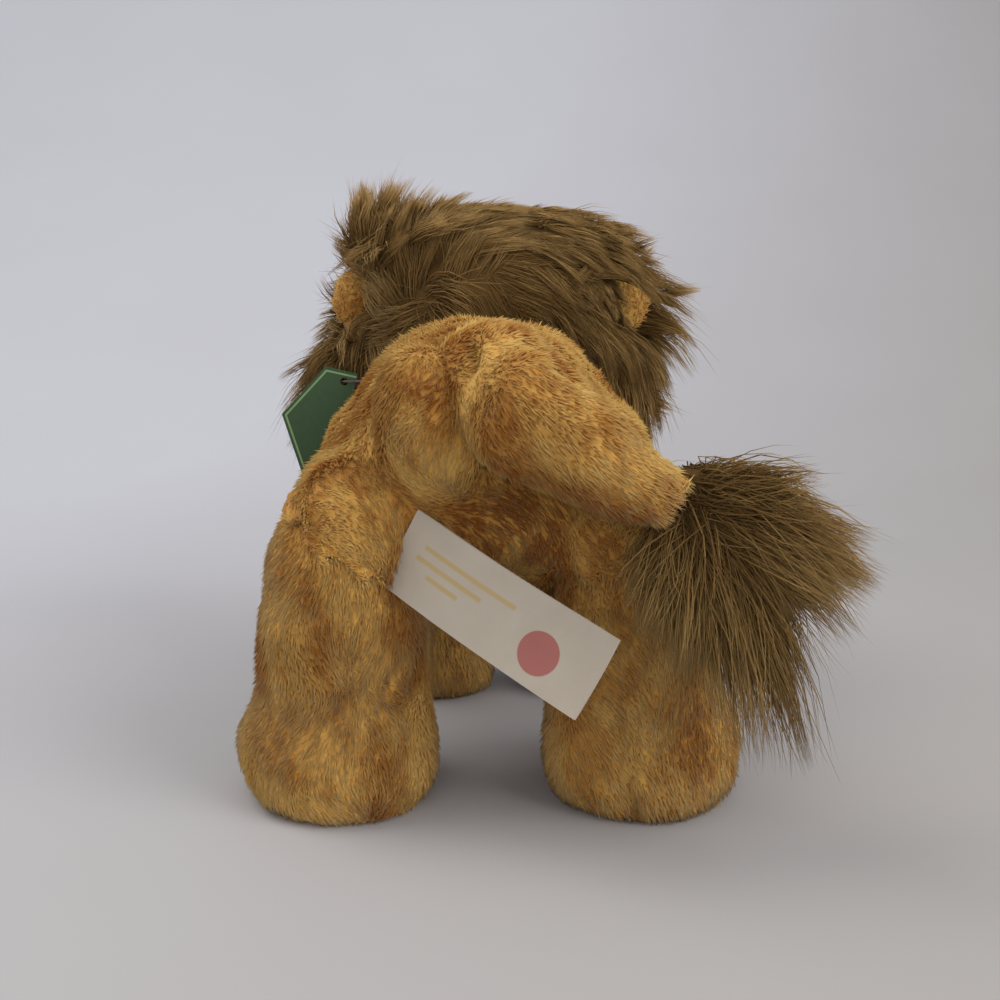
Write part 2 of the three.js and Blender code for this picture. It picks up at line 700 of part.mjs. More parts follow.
// The ruff round the face: its long locks stand out past the ears and make the mane's outline.
// Each stop gives a turn and the share of the ruff's lift that its lock stands out.
const ruffStopShares = {
  left: [[-33, 0.7], [-20, 0.95], [-7, 1], [8, 0.8], [24, 0.75]],
  crown: [[42, 0.9], [53, 1], [65, 0.5], [79, 0.3], [93, 0.3], [107, 0.35], [120, 0.5], [133, 0.6]],
  right: [[147, 0.65], [162, 0.95], [177, 0.8], [191, 0.9], [206, 0.8]],
};
for (const [panel, stops] of Object.entries(ruffStopShares)) {
  for (const [turn, liftShare] of stops) {
    const lift = ruffLift * liftShare;
    const place = { polar: ruffPolarAngle, turn, lift, fall: yAxis };
    maneLocks[panel].push({ ...place, lengthShare: 0.42, widthShare: 1.5 });
  }
}
addLocks('bib', 62, [238, 302], lowLift, 0.6, downwards);
addLocks('bib', 112, anglesBetween(232, 308, 4), lowLift, 0.8, downwards);

// The nape's cap, closed over the back of the head.
const napePolars = anglesBetween(0, napePolarAngle, 3).slice(1);
function napeCap(depth = maneDepth) {
  const rings = (rise) => napePolars.map((polar) =>
    anglesBetween(0, fullTurnAngle, smallSides).slice(1).map((turn) => onHead(outwards(polar, turn), rise)));
  const [outer, inner] = [maneSeat + depth, maneSeat];
  const skin = [...rings(outer), ...rings(inner).reverse()];
  return solidFrom(loft(skin, onHead(yAxis, outer), onHead(yAxis, inner)));
}

// Each panel keeps to its own sector, so its locks stop at the seams beside it.
const sectorDepth = maneReach * 3;
const ringPanel = (from, to) => [undefined, sectorDepth].map((depth) =>
  manePanel(ringPolars, panelTurns(from, to), depth));
const panels = {
  left: ringPanel(leftSeamAngle, crownSeamAngle),
  crown: ringPanel(crownSeamAngle, rightSeamAngle),
  right: ringPanel(rightSeamAngle, bibSeamAngle),
  bib: ringPanel(bibSeamAngle, fullTurnAngle + leftSeamAngle),
  nape: [napeCap(), napeCap(sectorDepth)],
};
const neckRoom = rod(
  neckFoot.clone().addScaledVector(zAxis, -torsoHalfWidth), headCentre, neckRadius + swingGap, smallSides);
const earSwing = earRadius * Math.sin(THREE.MathUtils.degToRad(earFlop));
const earRoomDepth = earDepth + earSwing;
const earRooms = Object.values(ears).map((ear) => egg(
  ear.centre, yAxis, earRadius + swingGap * 2, earRoomDepth, earRoomDepth, coreSides, coreRings));
for (const [panel, [underpile, sector]] of Object.entries(panels)) {
  let piece = maneLocks[panel].reduce((sum, values) => sum.add(maneLock(values)), underpile);
  piece = piece.intersect(sector);
  for (const room of [neckRoom, ...earRooms]) piece = piece.subtract(room);
  addPiece(`mane_${panel}`, mainBody(piece), materials.mane);
}

// Tail cover and its filling, with the tuft on its end.
const tailMouthEnd = tailRoot.clone().addScaledVector(yAxis, -tailRadius - overrun);
const tailCavity = tailForm(plushWall, coreSides).add(rod(tailRoot, tailMouthEnd, tailMouth));
addPiece('tail_cover', mainBody(tailForm(0).subtract(tailCavity)), materials.plush);
addPiece('tail_wadding', tailForm(fillingInset, coreSides), materials.wadding);

const tailEnd = tailCurve.getPointAt(1);
const tailAhead = tailCurve.getTangentAt(1);
const knobCentre = tailEnd.clone().addScaledVector(tailAhead, tuftKnob * 0.3);
const tuftRows = [
  { setback: 0.16, lengthShare: 1, angles: anglesBetween(168, 276, 6) },
  { setback: 0.34, lengthShare: 0.86, angles: anglesBetween(182, 262, 4) },
  { setback: -0.06, lengthShare: 0.9, angles: anglesBetween(172, 208, 2) },
];
let tuft = egg(knobCentre, tailAhead, tuftKnob, tuftKnob, tuftKnob, coreSides, coreRings);
for (const { setback, lengthShare, angles } of tuftRows) {
  for (const angle of angles) {
    const turn = THREE.MathUtils.degToRad(angle);
    const ahead = at(Math.cos(turn), setback, Math.sin(turn));
    const length = tuftLockLength * lengthShare;
    const middle = knobCentre.clone().addScaledVector(ahead, length * 0.5);
    middle.addScaledVector(zAxis, length * 0.12);
    const tip = knobCentre.clone().addScaledVector(ahead, length);
    const curve = new THREE.QuadraticBezierCurve3(knobCentre, middle, tip);
    const width = tuftLockHalfWidth;
    tuft = tuft.add(solidFrom(taperedSweep(curve, yAxis, width, width, lockStopShares, lockSides)));
  }
}
const tailSkin = tailForm(-seamGap);
addPiece('tail_tuft', mainBody(tuft.subtract(tailSkin)), materials.mane);

// Sewn-in label: one ribbon doubled back on itself, its two ends in the left hip's seam.
const labelAlong = at(-0.768, 0.507, -0.406).normalize();
const labelAcross = at(0.46, 0, -0.888).projectOnPlane(labelAlong).normalize();
const labelFace = labelAcross.clone().cross(labelAlong);
const labelRoot = at(labelOffset, rumpReach + labelStandOff, hipHeight + labelRise);
const labelBend = (wayShare) => labelBow * Math.sin(Math.PI * Math.max(wayShare, 0));
function ribbonSide(offset, from, to) {
  return anglesBetween(from, to, 7).map((reach) =>
    new THREE.Vector2(reach, labelBend(reach / labelLength) + offset));
}
const ribbonHalf = ribbonGap / 2 + ribbonThickness;
const ribbonFold = (radius, turnSign) => [60, 0, -60].map((angle) => {
  const turn = THREE.MathUtils.degToRad(angle * turnSign);
  const end = labelLength - ribbonHalf;
  return new THREE.Vector2(
    end + radius * Math.cos(turn), labelBend(end / labelLength) + radius * Math.sin(turn));
});
const hairpin = new THREE.Shape([
  ...ribbonSide(ribbonHalf, -labelTuck, labelLength - ribbonHalf),
  ...ribbonFold(ribbonHalf, 1),
  ...ribbonSide(-ribbonHalf, labelLength - ribbonHalf, -labelTuck),
  ...ribbonSide(-ribbonGap / 2, -labelTuck, labelLength - ribbonHalf),
  ...ribbonFold(ribbonGap / 2, -1),
  ...ribbonSide(ribbonGap / 2, labelLength - ribbonHalf, -labelTuck),
]);
const ribbon = new THREE.ExtrudeGeometry(hairpin, { depth: labelWidth, bevelEnabled: false });
ribbon.translate(0, 0, -labelWidth / 2);
const labelFrame = new THREE.Matrix4().makeBasis(labelAlong, labelFace, labelAcross);
ribbon.applyMatrix4(labelFrame.setPosition(labelRoot));
const labelAngles = anglesBetween(-labelDip, labelFlap, 3);
const hipSkin = legForm(legs.left_hind, -swingGap, bodySides);
const hipRoom = swept(hipSkin, legs.left_hind.pivot, xAxis, legAngles);
const labelRoom = swept(hipRoom.add(trunkForm(-seamGap)), labelRoot, labelAcross, labelAngles);
addPiece('sewn_label', mainBody(solidFrom(ribbon).subtract(labelRoom)), materials.ribbon);

// Card tag: half a hexagon on each leaf, folded at its upright spine and held by a thread loop.
const tilt = THREE.MathUtils.degToRad(cardTilt);
const cardOut = at(Math.cos(tilt), 0, Math.sin(tilt));
const cardUp = at(-Math.sin(tilt), 0, Math.cos(tilt));
const tagSpine = at(torsoHalfWidth - tagInset, headCentre.y + tagSetback, hipHeight + tagRise);
const halfHeight = cardSide * Math.sin(Math.PI / 3);
function cardLeaf(sign) {
  const leaf = new THREE.Shape([
    new THREE.Vector2(0, -halfHeight),
    new THREE.Vector2(cardSide / 2, -halfHeight),
    new THREE.Vector2(cardSide, 0),
    new THREE.Vector2(cardSide / 2, halfHeight),
    new THREE.Vector2(0, halfHeight),
  ]);
  const geometry = new THREE.ExtrudeGeometry(leaf, { depth: cardThickness, bevelEnabled: false });
  geometry.translate(0, 0, sign > 0 ? 0 : -cardThickness);
  geometry.rotateY(THREE.MathUtils.degToRad(-sign * cardOpening / 2));
  return solidFrom(geometry);
}
const spine = block(
  at(-cardThickness / 2, -halfHeight, -cardThickness), at(cardThickness, halfHeight, cardThickness));
const holeFrom = at(cardMargin, halfHeight - cardMargin, -overrun);
const hole = rod(holeFrom, holeFrom.clone().setZ(overrun), cardHole, coreSides);
const card = cardLeaf(1).add(cardLeaf(-1)).add(spine).subtract(hole);
const cardFrame = new THREE.Matrix4()
  .makeBasis(cardOut, cardUp, yAxis.clone().negate()).setPosition(tagSpine);
addPiece('hang_tag', solidFrom(geometryOf(card).applyMatrix4(cardFrame)), materials.card);

const holeCentre = holeFrom.clone().setZ(0).applyMatrix4(cardFrame);
const loop = new THREE.TorusGeometry(tagLoopWidth / 2, tagThread / 2, threadSides, smallSides);
loop.scale((tagLoopLength / tagLoopWidth), 1, 1);
loop.translate(holeCentre.x + tagThread / 3 - tagLoopLength / 2, holeCentre.y, holeCentre.z);
addPiece('tag_loop', solidFrom(loop), materials.thread);

const box = new THREE.Box3().setFromObject(lion);
const middle = box.getCenter(at(0, 0, 0));
lion.position.set(-middle.x, -middle.y, 0);
lion.updateMatrixWorld(true);

export default lion;
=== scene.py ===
import json
import math
from contextlib import contextmanager

import bpy
import numpy as np
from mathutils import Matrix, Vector
from mathutils.bvhtree import BVHTree

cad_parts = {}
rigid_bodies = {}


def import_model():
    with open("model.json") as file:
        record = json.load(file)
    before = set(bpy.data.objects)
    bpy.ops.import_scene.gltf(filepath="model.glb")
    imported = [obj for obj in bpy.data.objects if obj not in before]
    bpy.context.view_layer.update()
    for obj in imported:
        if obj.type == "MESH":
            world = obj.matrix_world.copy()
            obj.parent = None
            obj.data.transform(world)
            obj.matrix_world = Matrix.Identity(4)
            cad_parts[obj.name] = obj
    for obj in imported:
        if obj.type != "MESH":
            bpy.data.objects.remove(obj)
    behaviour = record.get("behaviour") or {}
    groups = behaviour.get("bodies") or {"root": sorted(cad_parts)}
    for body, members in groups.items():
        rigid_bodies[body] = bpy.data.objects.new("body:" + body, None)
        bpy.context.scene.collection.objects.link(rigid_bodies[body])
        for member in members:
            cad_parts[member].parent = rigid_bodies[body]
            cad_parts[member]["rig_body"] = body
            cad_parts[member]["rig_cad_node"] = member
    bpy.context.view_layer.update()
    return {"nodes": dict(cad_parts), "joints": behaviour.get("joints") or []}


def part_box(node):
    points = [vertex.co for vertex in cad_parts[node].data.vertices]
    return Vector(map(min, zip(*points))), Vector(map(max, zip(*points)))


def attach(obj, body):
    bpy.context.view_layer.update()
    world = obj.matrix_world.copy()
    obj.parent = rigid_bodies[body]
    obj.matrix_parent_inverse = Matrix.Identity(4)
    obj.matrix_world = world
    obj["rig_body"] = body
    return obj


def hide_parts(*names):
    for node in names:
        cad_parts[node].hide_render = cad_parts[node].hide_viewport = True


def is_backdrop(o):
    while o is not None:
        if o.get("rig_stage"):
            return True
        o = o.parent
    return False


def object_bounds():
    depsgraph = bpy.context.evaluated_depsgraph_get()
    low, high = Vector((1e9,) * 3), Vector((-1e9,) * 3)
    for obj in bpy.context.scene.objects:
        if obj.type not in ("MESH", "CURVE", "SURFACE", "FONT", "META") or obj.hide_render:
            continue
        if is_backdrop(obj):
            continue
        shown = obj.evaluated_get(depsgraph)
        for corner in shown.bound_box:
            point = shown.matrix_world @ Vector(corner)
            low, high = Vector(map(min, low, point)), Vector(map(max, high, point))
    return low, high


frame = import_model()
joints = {joint["name"]: joint for joint in frame["joints"]}

# The view: the lion stands on a pale table and is seen from straight behind, a little from above.
# The camera stands 395 mm from a point in its rump, with a lens 1.3 times as long as the frame is wide.
eye_boxes = [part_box("left_eye"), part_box("right_eye")]
mid_x = sum(low.x + high.x for low, high in eye_boxes) / 4
rump_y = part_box("torso_cover")[1].y
camera_distance = 0.395
camera_elevation = math.radians(9.4)
aim = Vector((mid_x - 0.0038, rump_y - 0.024, 0.100))
away = Vector((0, math.cos(camera_elevation), math.sin(camera_elevation)))


def select_only(*pieces):
    bpy.ops.object.select_all(action="DESELECT")
    for piece in pieces:
        piece.select_set(True)
    if pieces:
        bpy.context.view_layer.objects.active = pieces[0]


select_only()
bpy.ops.object.camera_add(location=aim + away * camera_distance)
camera = bpy.context.object
camera.rotation_euler = (-away).to_track_quat("-Z", "Y").to_euler()
camera.data.sensor_width = 36
camera.data.lens = 1.3 * camera.data.sensor_width
bpy.context.scene.camera = camera
bpy.context.scene.view_settings.view_transform = "Standard"


def linear(hex_colour):
    channels = [int(hex_colour[i:i + 2], 16) / 255 for i in (1, 3, 5)]
    return [c / 12.92 if c <= 0.04045 else ((c + 0.055) / 1.055) ** 2.4 for c in channels] + [1.0]


def add_node(tree, kind, inputs=None, **settings):
    """Adds a shader node. An input that is given a node is linked to the value it works out."""
    node = tree.nodes.new("ShaderNode" + kind)
    for name, value in settings.items():
        setattr(node, name, value)
    for name, value in (inputs or {}).items():
        if isinstance(value, bpy.types.Node):
            value = value.outputs.get("Fac") or next(socket for socket in value.outputs if socket.enabled)
        if isinstance(value, bpy.types.NodeSocket):
            tree.links.new(value, node.inputs[name])
        else:
            node.inputs[name].default_value = value
    return node


def new_material(name):
    material = bpy.data.materials.new(name)
    material.use_nodes = True
    material.node_tree.nodes.clear()
    return material, material.node_tree


@contextmanager
def editing(select=None):
    """Edit mode of the active piece, with all or nothing of it selected first."""
    bpy.ops.object.mode_set(mode="EDIT")
    if select:
        bpy.ops.mesh.select_all(action=select)
    yield
    bpy.ops.object.mode_set(mode="OBJECT")


# The table runs up behind the lion in one sweep, as a sheet of paper does in a studio. The paper is
# matt: it has no highlight. Its colour is painted from a cool white to a warm grey across the sheet,
# as painted falloff of the light.
table_side = 4
behind_camera = 0.35
sweep_radius = 1.3
sweep_steps = 24
wall_height = 2
select_only()
bpy.ops.mesh.primitive_plane_add(size=table_side, location=(0, table_side / 2 - behind_camera, 0))
table = bpy.context.object
table.name = "table"
bpy.ops.object.transform_apply(location=True, rotation=False, scale=False)
sweep_start = min(vertex.co.y for vertex in table.data.vertices)
with editing("DESELECT"):
    bpy.ops.mesh.select_mode(type="EDGE")
for edge in table.data.edges:
    edge.select = all(table.data.vertices[i].co.y < sweep_start + 0.01 for i in edge.vertices)
with editing():
    for step in range(sweep_steps):
        turn = math.radians(90) * (step + 0.5) / sweep_steps
        stride = sweep_radius * math.radians(90) / sweep_steps
        bpy.ops.mesh.extrude_region_move(TRANSFORM_OT_translate={
            "value": (0, -stride * math.cos(turn), stride * math.sin(turn))})
    bpy.ops.mesh.extrude_region_move(TRANSFORM_OT_translate={"value": (0, 0, wall_height)})
bpy.ops.object.shade_smooth()
paper, tree = new_material("matt table paper")
coords = add_node(tree, "TexCoord")
paper_turn = add_node(tree, "Mapping", {
    "Vector": coords.outputs["Object"], "Location": (0.5, 0, 0), "Rotation": (0, 0, math.radians(205))})
# Painted falloff of the light: the paper's colour darkens from a cool white to a warm grey across the
# sheet.
drift = add_node(tree, "TexGradient", {"Vector": paper_turn})
pulp = add_node(tree, "TexNoise", {"Vector": coords.outputs["Object"], "Scale": 6.0, "Detail": 2.0})
cloud = add_node(tree, "Math", {0: pulp, 1: 0.12}, operation="MULTIPLY")
falloff_and_pulp = add_node(tree, "Math", {0: drift, 1: cloud}, operation="ADD")
paper_colour = add_node(tree, "Mix", {
    0: falloff_and_pulp, 6: linear("#c9cbd5"), 7: linear("#9c9893")}, data_type="RGBA")
paper_shader = add_node(tree, "BsdfPrincipled", {
    "Base Color": paper_colour, "Roughness": 0.75, "Specular IOR Level": 0.1})
add_node(tree, "OutputMaterial", {"Surface": paper_shader})
table.data.materials.append(paper)
table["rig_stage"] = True

world = bpy.data.worlds.new("room light")
bpy.context.scene.world = world
world.use_nodes = True
world.node_tree.nodes.clear()
sky = add_node(world.node_tree, "Background", {"Color": linear("#f4f3f4"), "Strength": 0.66})
add_node(world.node_tree, "OutputWorld", {"Surface": sky})


def add_lamp(name, place, size, watts, hex_colour):
    """A round soft lamp that is turned to the lion."""
    data = bpy.data.lights.new(name, "AREA")
    data.shape = "DISK"
    data.size = size
    data.energy = watts
    data.color = linear(hex_colour)[:3]
    lamp = bpy.data.objects.new(name, data)
    lamp.location = place
    lamp.rotation_euler = (Vector(chest_high) - Vector(place)).to_track_quat("-Z", "Y").to_euler()
    bpy.context.scene.collection.objects.link(lamp)


chest_high = (mid_x, 0, 0.1)
add_lamp("window", (mid_x + 0.8, 0.0, 1.5), size=1.1, watts=10.5, hex_colour="#fffaf0")
add_lamp("second window", (mid_x - 1.2, 0.9, 0.9), size=1.3, watts=17, hex_colour="#fbf8f2")
add_lamp("white wall", (mid_x + 0.2, 1.2, 0.35), size=0.9, watts=2.4, hex_colour="#fff6ea")


# The torso is two curved panels of short golden plush, sewn together inside out, turned and stuffed
# with fibre. The pile is about 5 mm long and lies down towards the rump. Between the legs it is painted
# deeper in tone, as painted shade. Extra filling raises the rump beside the tail, and the flanks sink in
# below it.
per_mm = 1000.0
pile_length = 0.0046
pile_width = 0.0004
pile_per_mm2 = 1.25
skin_voxel = 0.0024
merge_gap = 0.00001
# The place and size of the painted shade between the hind legs.
crotch = np.array((mid_x, rump_y - 0.018, 0.088))
crotch_size = np.array((0.034, 0.045, 0.036))


def copy_of(names, name):
    """A copy of drawn solids, joined into one mesh and without their material."""
    copies = []
    for node_name in names:
        copy = frame["nodes"][node_name].copy()
        copy.data = copy.data.copy()
        copy.parent = None
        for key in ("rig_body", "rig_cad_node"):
            del copy[key]
        bpy.context.scene.collection.objects.link(copy)
        copies.append(copy)
    select_only(*copies)
    if len(copies) > 1:
        bpy.ops.object.join()
    copies[0].name = name
    copies[0].data.name = name
    copies[0].data.materials.clear()
    return copies[0]


def modify(piece, kind, **settings):
    """Adds a modifier with its settings and applies it."""
    modifier = piece.modifiers.new(kind.lower(), kind)
    for name, value in settings.items():
        setattr(modifier, name, value)
    bpy.ops.object.modifier_apply(modifier=modifier.name)


def stuffed_skin(name, names, voxel=skin_voxel, rounding=14, padding=()):
    """One soft skin over drawn solids and their padding, as cloth lies over the filling."""
    skin = copy_of(names, name)
    for pad in padding:
        join_into(skin, pad)
    with editing("SELECT"):
        bpy.ops.mesh.remove_doubles(threshold=merge_gap)
    modify(skin, "REMESH", mode="VOXEL", voxel_size=voxel)
    keep_largest(skin)
    modify(skin, "SMOOTH", iterations=rounding, factor=0.5)
    bpy.ops.object.shade_smooth()
    return skin


def cut_away(piece, kind, unwanted):
    """Deletes the marked points or faces of the active piece."""
    with editing("DESELECT"):
        bpy.ops.mesh.select_mode(type=kind)
    parts = piece.data.vertices if kind == "VERT" else piece.data.polygons
    parts.foreach_set("select", unwanted)
    with editing():
        bpy.ops.mesh.delete(type=kind)


def keep_largest(skin):
    """Deletes all but the largest closed skin, such as the walls of the hollow inside."""
    owner = np.arange(len(skin.data.vertices))
    edges = np.zeros(len(skin.data.edges) * 2, int)
    skin.data.edges.foreach_get("vertices", edges)
    edges = edges.reshape(-1, 2)
    while True:
        lowest = np.minimum(owner[edges[:, 0]], owner[edges[:, 1]])
        before = owner.copy()
        np.minimum.at(owner, edges[:, 0], lowest)
        np.minimum.at(owner, edges[:, 1], lowest)
        owner = owner[owner]
        if (owner == before).all():
            break
    islands, sizes = np.unique(owner, return_counts=True)
    cut_away(skin, "VERT", owner != islands[sizes.argmax()])


def points_of(piece):
    points = np.zeros(len(piece.data.vertices) * 3)
    piece.data.vertices.foreach_get("co", points)
    return points.reshape(-1, 3)


def set_points(piece, points):
    piece.data.vertices.foreach_set("co", points.ravel())
    piece.data.update()


def normals_of(piece):
    normals = np.zeros(len(piece.data.vertices) * 3)
    piece.data.vertices.foreach_get("normal", normals)
    return normals.reshape(-1, 3)


def unit(vectors):
    return vectors / np.maximum(np.linalg.norm(vectors, axis=-1, keepdims=True), 1e-12)


def waves(points, wavelength, seed, count=7):
    """A smooth random field of three numbers at each point, made of a few sine waves."""
    rng = np.random.default_rng(seed)
    field = np.zeros_like(points)
    for _ in range(count):
        across = unit(rng.normal(size=3)) * 2 * math.pi / (wavelength * rng.uniform(0.7, 1.4))
        swing = rng.normal(size=3)
        field += np.sin(points @ across + rng.uniform(0, 2 * math.pi))[:, None] * swing
    return field / math.sqrt(count)


def dent(skin, line, depth, half_width):
    """Draws the skin in along a line of points, as a sewn seam or a fold does."""
    points = points_of(skin)
    line = np.array(line, float)
    nearest = np.full(len(points), 1e9)
    for start, end in zip(line[:-1], line[1:]):
        span = end - start
        share = np.clip((points - start) @ span / (span @ span), 0, 1)
        nearest = np.minimum(nearest, np.linalg.norm(points - start - share[:, None] * span, axis=1))
    points -= normals_of(skin) * (depth * np.exp(-(nearest / half_width) ** 2))[:, None]
    set_points(skin, points)


def lump(skin, height, wavelength, seed):
    """Fibre packs unevenly, so the skin swells and sinks a little over a few centimetres."""
    points = points_of(skin)
    swell = waves(points, wavelength, seed)[:, 0]
    points += normals_of(skin) * (swell * height)[:, None]
    set_points(skin, points)


def add_facts(piece, **facts):
    """Gives each point of a piece a number by name, which its material reads."""
    for fact, values in facts.items():
        data = piece.data.attributes.new(fact, "FLOAT", "POINT").data
        data.foreach_set("value", np.broadcast_to(values, len(data)).astype(np.float32))


def mesh_of(name, points, corners, starts, **facts):
    """A piece from its points, its faces' corners and the place in them where each face starts."""
    mesh = bpy.data.meshes.new(name)
    mesh.vertices.add(len(points))
    mesh.vertices.foreach_set("co", np.asarray(points, np.float32).ravel())
    mesh.loops.add(len(corners))
    mesh.loops.foreach_set("vertex_index", np.asarray(corners, np.int32))
    mesh.polygons.add(len(starts))
    mesh.polygons.foreach_set("loop_start", np.asarray(starts, np.int32))
    mesh.update(calc_edges=True)
    piece = bpy.data.objects.new(name, mesh)
    bpy.context.scene.collection.objects.link(piece)
    add_facts(piece, **facts)
    return piece


def hairs(name, lines, half_widths, tones):
    """Closed three-sided hairs: a ring at each point of a line but its last, which is the tip."""
    count, stops, _ = lines.shape
    rings = stops - 1
    ahead = unit(np.gradient(lines, axis=1))
    lean = np.random.default_rng(count).normal(size=(count, 1, 3))
    aside = unit(np.cross(ahead, lean))
    over = np.cross(ahead, aside)
    turns = [2 * math.pi * side / 3 for side in range(3)]
    widths = half_widths[..., None]
    corners = [lines[:, :-1] + widths * (math.cos(turn) * aside[:, :-1] + math.sin(turn) * over[:, :-1])
               for turn in turns]
    body = np.stack(corners, axis=2).reshape(count, rings * 3, 3)
    points = np.concatenate([body, lines[:, -1:]], axis=1)
    faces = [[0, 2, 1]]
    for ring in range(rings - 1):
        for side in range(3):
            here, beside = ring * 3 + side, ring * 3 + (side + 1) % 3
            faces.append([here, beside, beside + 3, here + 3])
    top = (rings - 1) * 3
    faces += [[top + side, top + (side + 1) % 3, top + 3] for side in range(3)]
    pattern = np.concatenate(faces)
    first = np.arange(count)[:, None] * (rings * 3 + 1)
    corner_counts = np.tile([len(face) for face in faces], count)
    starts = np.concatenate([[0], np.cumsum(corner_counts)[:-1]])
    along = np.concatenate([np.repeat(np.arange(rings) / rings, 3), [1.0]])
    return mesh_of(name, points.reshape(-1, 3), (first + pattern).ravel(), starts,
                   along=np.tile(along, count), tone=np.repeat(tones, rings * 3 + 1))


def places_on(skin, seed):
    """Random places spread evenly over a skin, with the skin's normal at each."""
    rng = np.random.default_rng(seed)
    mesh = skin.data
    mesh.calc_loop_triangles()
    triangles = np.zeros(len(mesh.loop_triangles) * 3, int)
    mesh.loop_triangles.foreach_get("vertices", triangles)
    triangles = triangles.reshape(-1, 3)
    points, normals = points_of(skin), normals_of(skin)
    a, b, c = (points[triangles[:, i]] for i in range(3))
    areas = np.linalg.norm(np.cross(b - a, c - a), axis=1) / 2
    count = int(areas.sum() * per_mm ** 2 * pile_per_mm2)
    chosen = rng.choice(len(areas), count, p=areas / areas.sum())
    shares = rng.random((count, 2))
    folded = shares.sum(axis=1) > 1
    shares[folded] = 1 - shares[folded]
    weights = np.column_stack([1 - shares.sum(axis=1), shares])[..., None]
    corners = triangles[chosen]
    return (points[corners] * weights).sum(axis=1), unit((normals[corners] * weights).sum(axis=1))


def open_to_air(places, normals, neighbours, lift=0.0004, reach=0.0007):
    """True where no neighbour, given by its tree, lies close in front of a place on the skin."""
    free = np.ones(len(places), bool)
    for i, (place, normal) in enumerate(zip(places, normals)):
        start, way = Vector(place + normal * lift), Vector(normal)
        free[i] = all(tree.ray_cast(start, way, reach)[0] is None for tree in neighbours)
    return free


def join_into(piece, addition):
    select_only(piece, addition)
    bpy.ops.object.join()


def tree_of(piece):
    return BVHTree.FromPolygons([point.co for point in piece.data.vertices],
                                [face.vertices for face in piece.data.polygons])


def drawn(*names):
    return [tree_of(frame["nodes"][name]) for name in names]


def tuck(skin, neighbour, reach=0.006, depth=0.0016):
    """Draws a skin in where it ends beside a neighbour, so the seam between them has no lip."""
    points, normals = points_of(skin), normals_of(skin)
    tree = tree_of(neighbour)
    for i, point in enumerate(points):
        place, normal, _, gap = tree.find_nearest(Vector(point), reach)
        if place is not None and (Vector(point) - place).dot(normal) > 0:
            points[i] -= normals[i] * depth * (1 - gap / reach)
    set_points(skin, points)


def short_pile(skin, combed, neighbours, seed, length=pile_length, width=pile_width, ruffle=0.55,
               keep=None):
    """Plants short tufts that lie down the way the cloth is combed, and joins them to the skin.
    The tufts' tone varies at random; it is painted paler where they lie flat, as painted sheen, and
    deeper where they stand and between the hind legs, as painted shade."""
    rng = np.random.default_rng(seed)
    places, normals = places_on(skin, seed)
    if keep is not None:
        some = keep(places)
        places, normals = places[some], normals[some]
    free = open_to_air(places, normals, neighbours)
    places, normals = places[free], normals[free]
    nap = waves(places * np.array((1.0, 1.0, 0.55)), wavelength=0.017, seed=seed + 2, count=9)[:, 0]
    drift = waves(places, wavelength=0.045, seed=seed + 1) * ruffle
    way = combed(places) + drift + rng.normal(size=places.shape) * 0.16
    way -= (way * normals).sum(axis=1)[:, None] * normals
    way = unit(way)
    rise = np.clip(0.34 - 0.12 * nap + rng.normal(size=len(places)) * 0.07, 0.12, 0.75)[:, None]
    reach = (length * rng.uniform(0.7, 1.15, len(places)))[:, None]
    tips = places + way * reach * np.sqrt(1 - rise ** 2) + normals * reach * rise
    lines = np.stack([places - normals * width, tips], axis=1)
    half_widths = np.full((len(places), 1), width) * rng.uniform(0.7, 1.3, (len(places), 1))
    # Painted shade: the tufts' tone sinks between the hind legs.
    painted_crotch_shade = np.exp(-(((places - crotch) / crotch_size) ** 2).sum(axis=1))
    # Painted sheen: the tone rises with the nap field, where the tufts lie flattest.
    tones = np.clip(0.5 + 0.24 * nap + rng.normal(size=len(places)) * 0.15 - 0.5 * painted_crotch_shade, 0, 1)
    tufts = hairs(skin.name + "_pile", lines, half_widths, tones)
    add_facts(skin, along=0.3, tone=0.8)
    join_into(skin, tufts)


def fibre_shader(tree, colour, roughness, specular, sheen, through, normal=None):
    """Fine fibres: part of the light glances off, part of it passes through to the next fibre."""
    values = {"Base Color": colour, "Roughness": roughness, "Specular IOR Level": specular,
              "Sheen Weight": sheen, "Sheen Roughness": 0.45, "Sheen Tint": linear("#ffe9c0")}
    if normal is not None:
        values["Normal"] = normal
    glance = add_node(tree, "BsdfPrincipled", values)
    pass_on = add_node(tree, "BsdfTranslucent", {"Color": colour})
    both = add_node(tree, "MixShader", {0: through, 1: glance, 2: pass_on})
    add_node(tree, "OutputMaterial", {"Surface": both})


